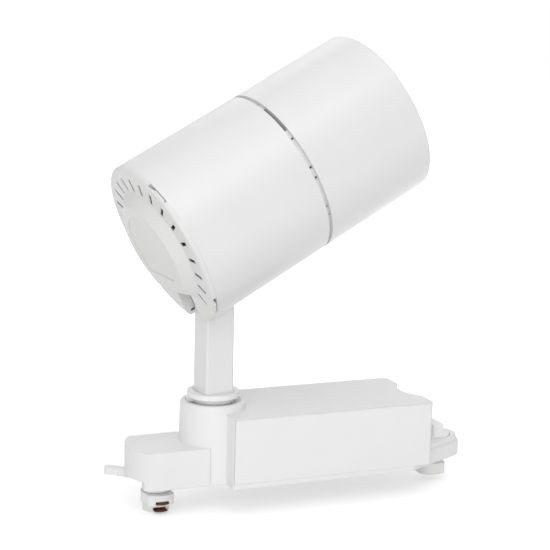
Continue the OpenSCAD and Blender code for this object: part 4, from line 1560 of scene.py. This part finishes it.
@dataclass
class Head:
    """The tilting head with its light.

    Shade is painted dark inside the rear half from inside_from past the seam, within skin_t
    of its outer skin, and in the cap's vents from vents_from over its face, which is rim_t short
    of the seam, within vent_r of the axis and vent_x towards the arm.
    """

    paint: Paintbox
    camera: Camera
    skin_t: float = 1.6
    inside_from: float = 2.6
    rim_t: float = 2.4
    vents_from: float = 0.2
    vent_r: float = 39.4
    vent_x: float = 27.0
    whole_depth: float = -500.0

    def painted_shades(self, axes: Axes, round_r: float, seam_z: float) -> tuple[PaintedShade, PaintedShade]:
        """Works out the head's two patches of painted shade.

        Args:
            axes: The head's axes.
            round_r: The cap's outer radius.
            seam_z: Where the cap meets the housing.

        Returns:
            The painted shade inside the rear half and, from the cap's face on, in its vents.
        """
        vectors = tuple(axes.origin), tuple(axes.z), tuple(axes.x)
        inside = PaintedShade(*vectors, round_r - self.skin_t, seam_z + self.inside_from)
        face_z = seam_z - self.rim_t
        return inside, PaintedShade(*vectors, self.vent_r, face_z + self.vents_from, self.vent_x)

    def dress(self) -> None:
        """Gives the head's CAD nodes their finishes and makes its detailed pieces."""
        axes = head_axes()
        seam_z, round_r = axes.span("rear_housing")[0].z, axes.reach("rear_cap")
        Reflector(self.paint, axes).build()
        LightEngine(self.paint, axes).build()
        seen = axes.local(Placer(self.camera, ("rear_cap", "rear_housing")).spot("snap_tab"))
        SnapTabs(self.paint, axes, round_r, seam_z).build(seen)
        inside, vents = self.painted_shades(axes, round_r, seam_z)
        # Painted shade: the rear housing is painted dark over its whole inside, and the cap over its inside and vents,
        # where little light reaches.
        whole = replace(inside, depth_mm=self.whole_depth)
        housing_paint = replace(HEAD_PAINT_GLOSS_AND_SHADE, name="housing_paint", painted_shades=(whole,))
        vented_cap = replace(CAP_PLASTIC, name="vented_cap_plastic", painted_shades=(inside, vents))
        self.paint.coat_nodes(HEAD_PAINT_GLOSS_AND_SHADE, "front_housing")
        self.paint.coat_nodes(CAP_PLASTIC, "vent_ring")
        self.paint.coat_nodes(housing_paint, "rear_housing")
        self.paint.coat_nodes(vented_cap, "rear_cap")
        self.paint.coat_nodes(WHITE_PLASTIC, "glass_ring", "led_holder")
        self.paint.coat_nodes(CAST_ALUMINIUM, "heat_sink", "tilt_bracket")
        self.paint.coat_nodes(ZINC_STEEL, "bracket_screws", "tilt_bolt", "tilt_nut")
        self.paint.coat_nodes(DARK_RUBBER, "tilt_washers")
        self.paint.coat_nodes(PHOSPHOR, "led_module")
        self.paint.coat_nodes(MIRROR_COAT, "reflector")
        self.paint.coat_nodes(GLASS, "front_glass")


def main() -> None:
    """Builds the scene in order and writes the measuring files."""
    logging.basicConfig(level=logging.INFO, format="%(name)s: %(message)s")
    camera = Camera()
    camera.build()
    Studio().build()
    paint = Paintbox()
    parts = (
        Adapter(paint),
        Contacts(paint, camera),
        Lock(paint),
        Arm(paint, camera),
        Head(paint, camera),
    )
    for part in parts:
        log.info("sub-assembly %s", type(part).__name__)
        part.dress()
    PhotoCheck(camera).write("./points.json")
    boxes = {"cad": [list(v) for v in CAD_BOX], "visual": [list(v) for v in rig.bounds()]}
    with open("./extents.json", "w") as file:
        json.dump(boxes, file)


if __name__ == "__main__":
    main()
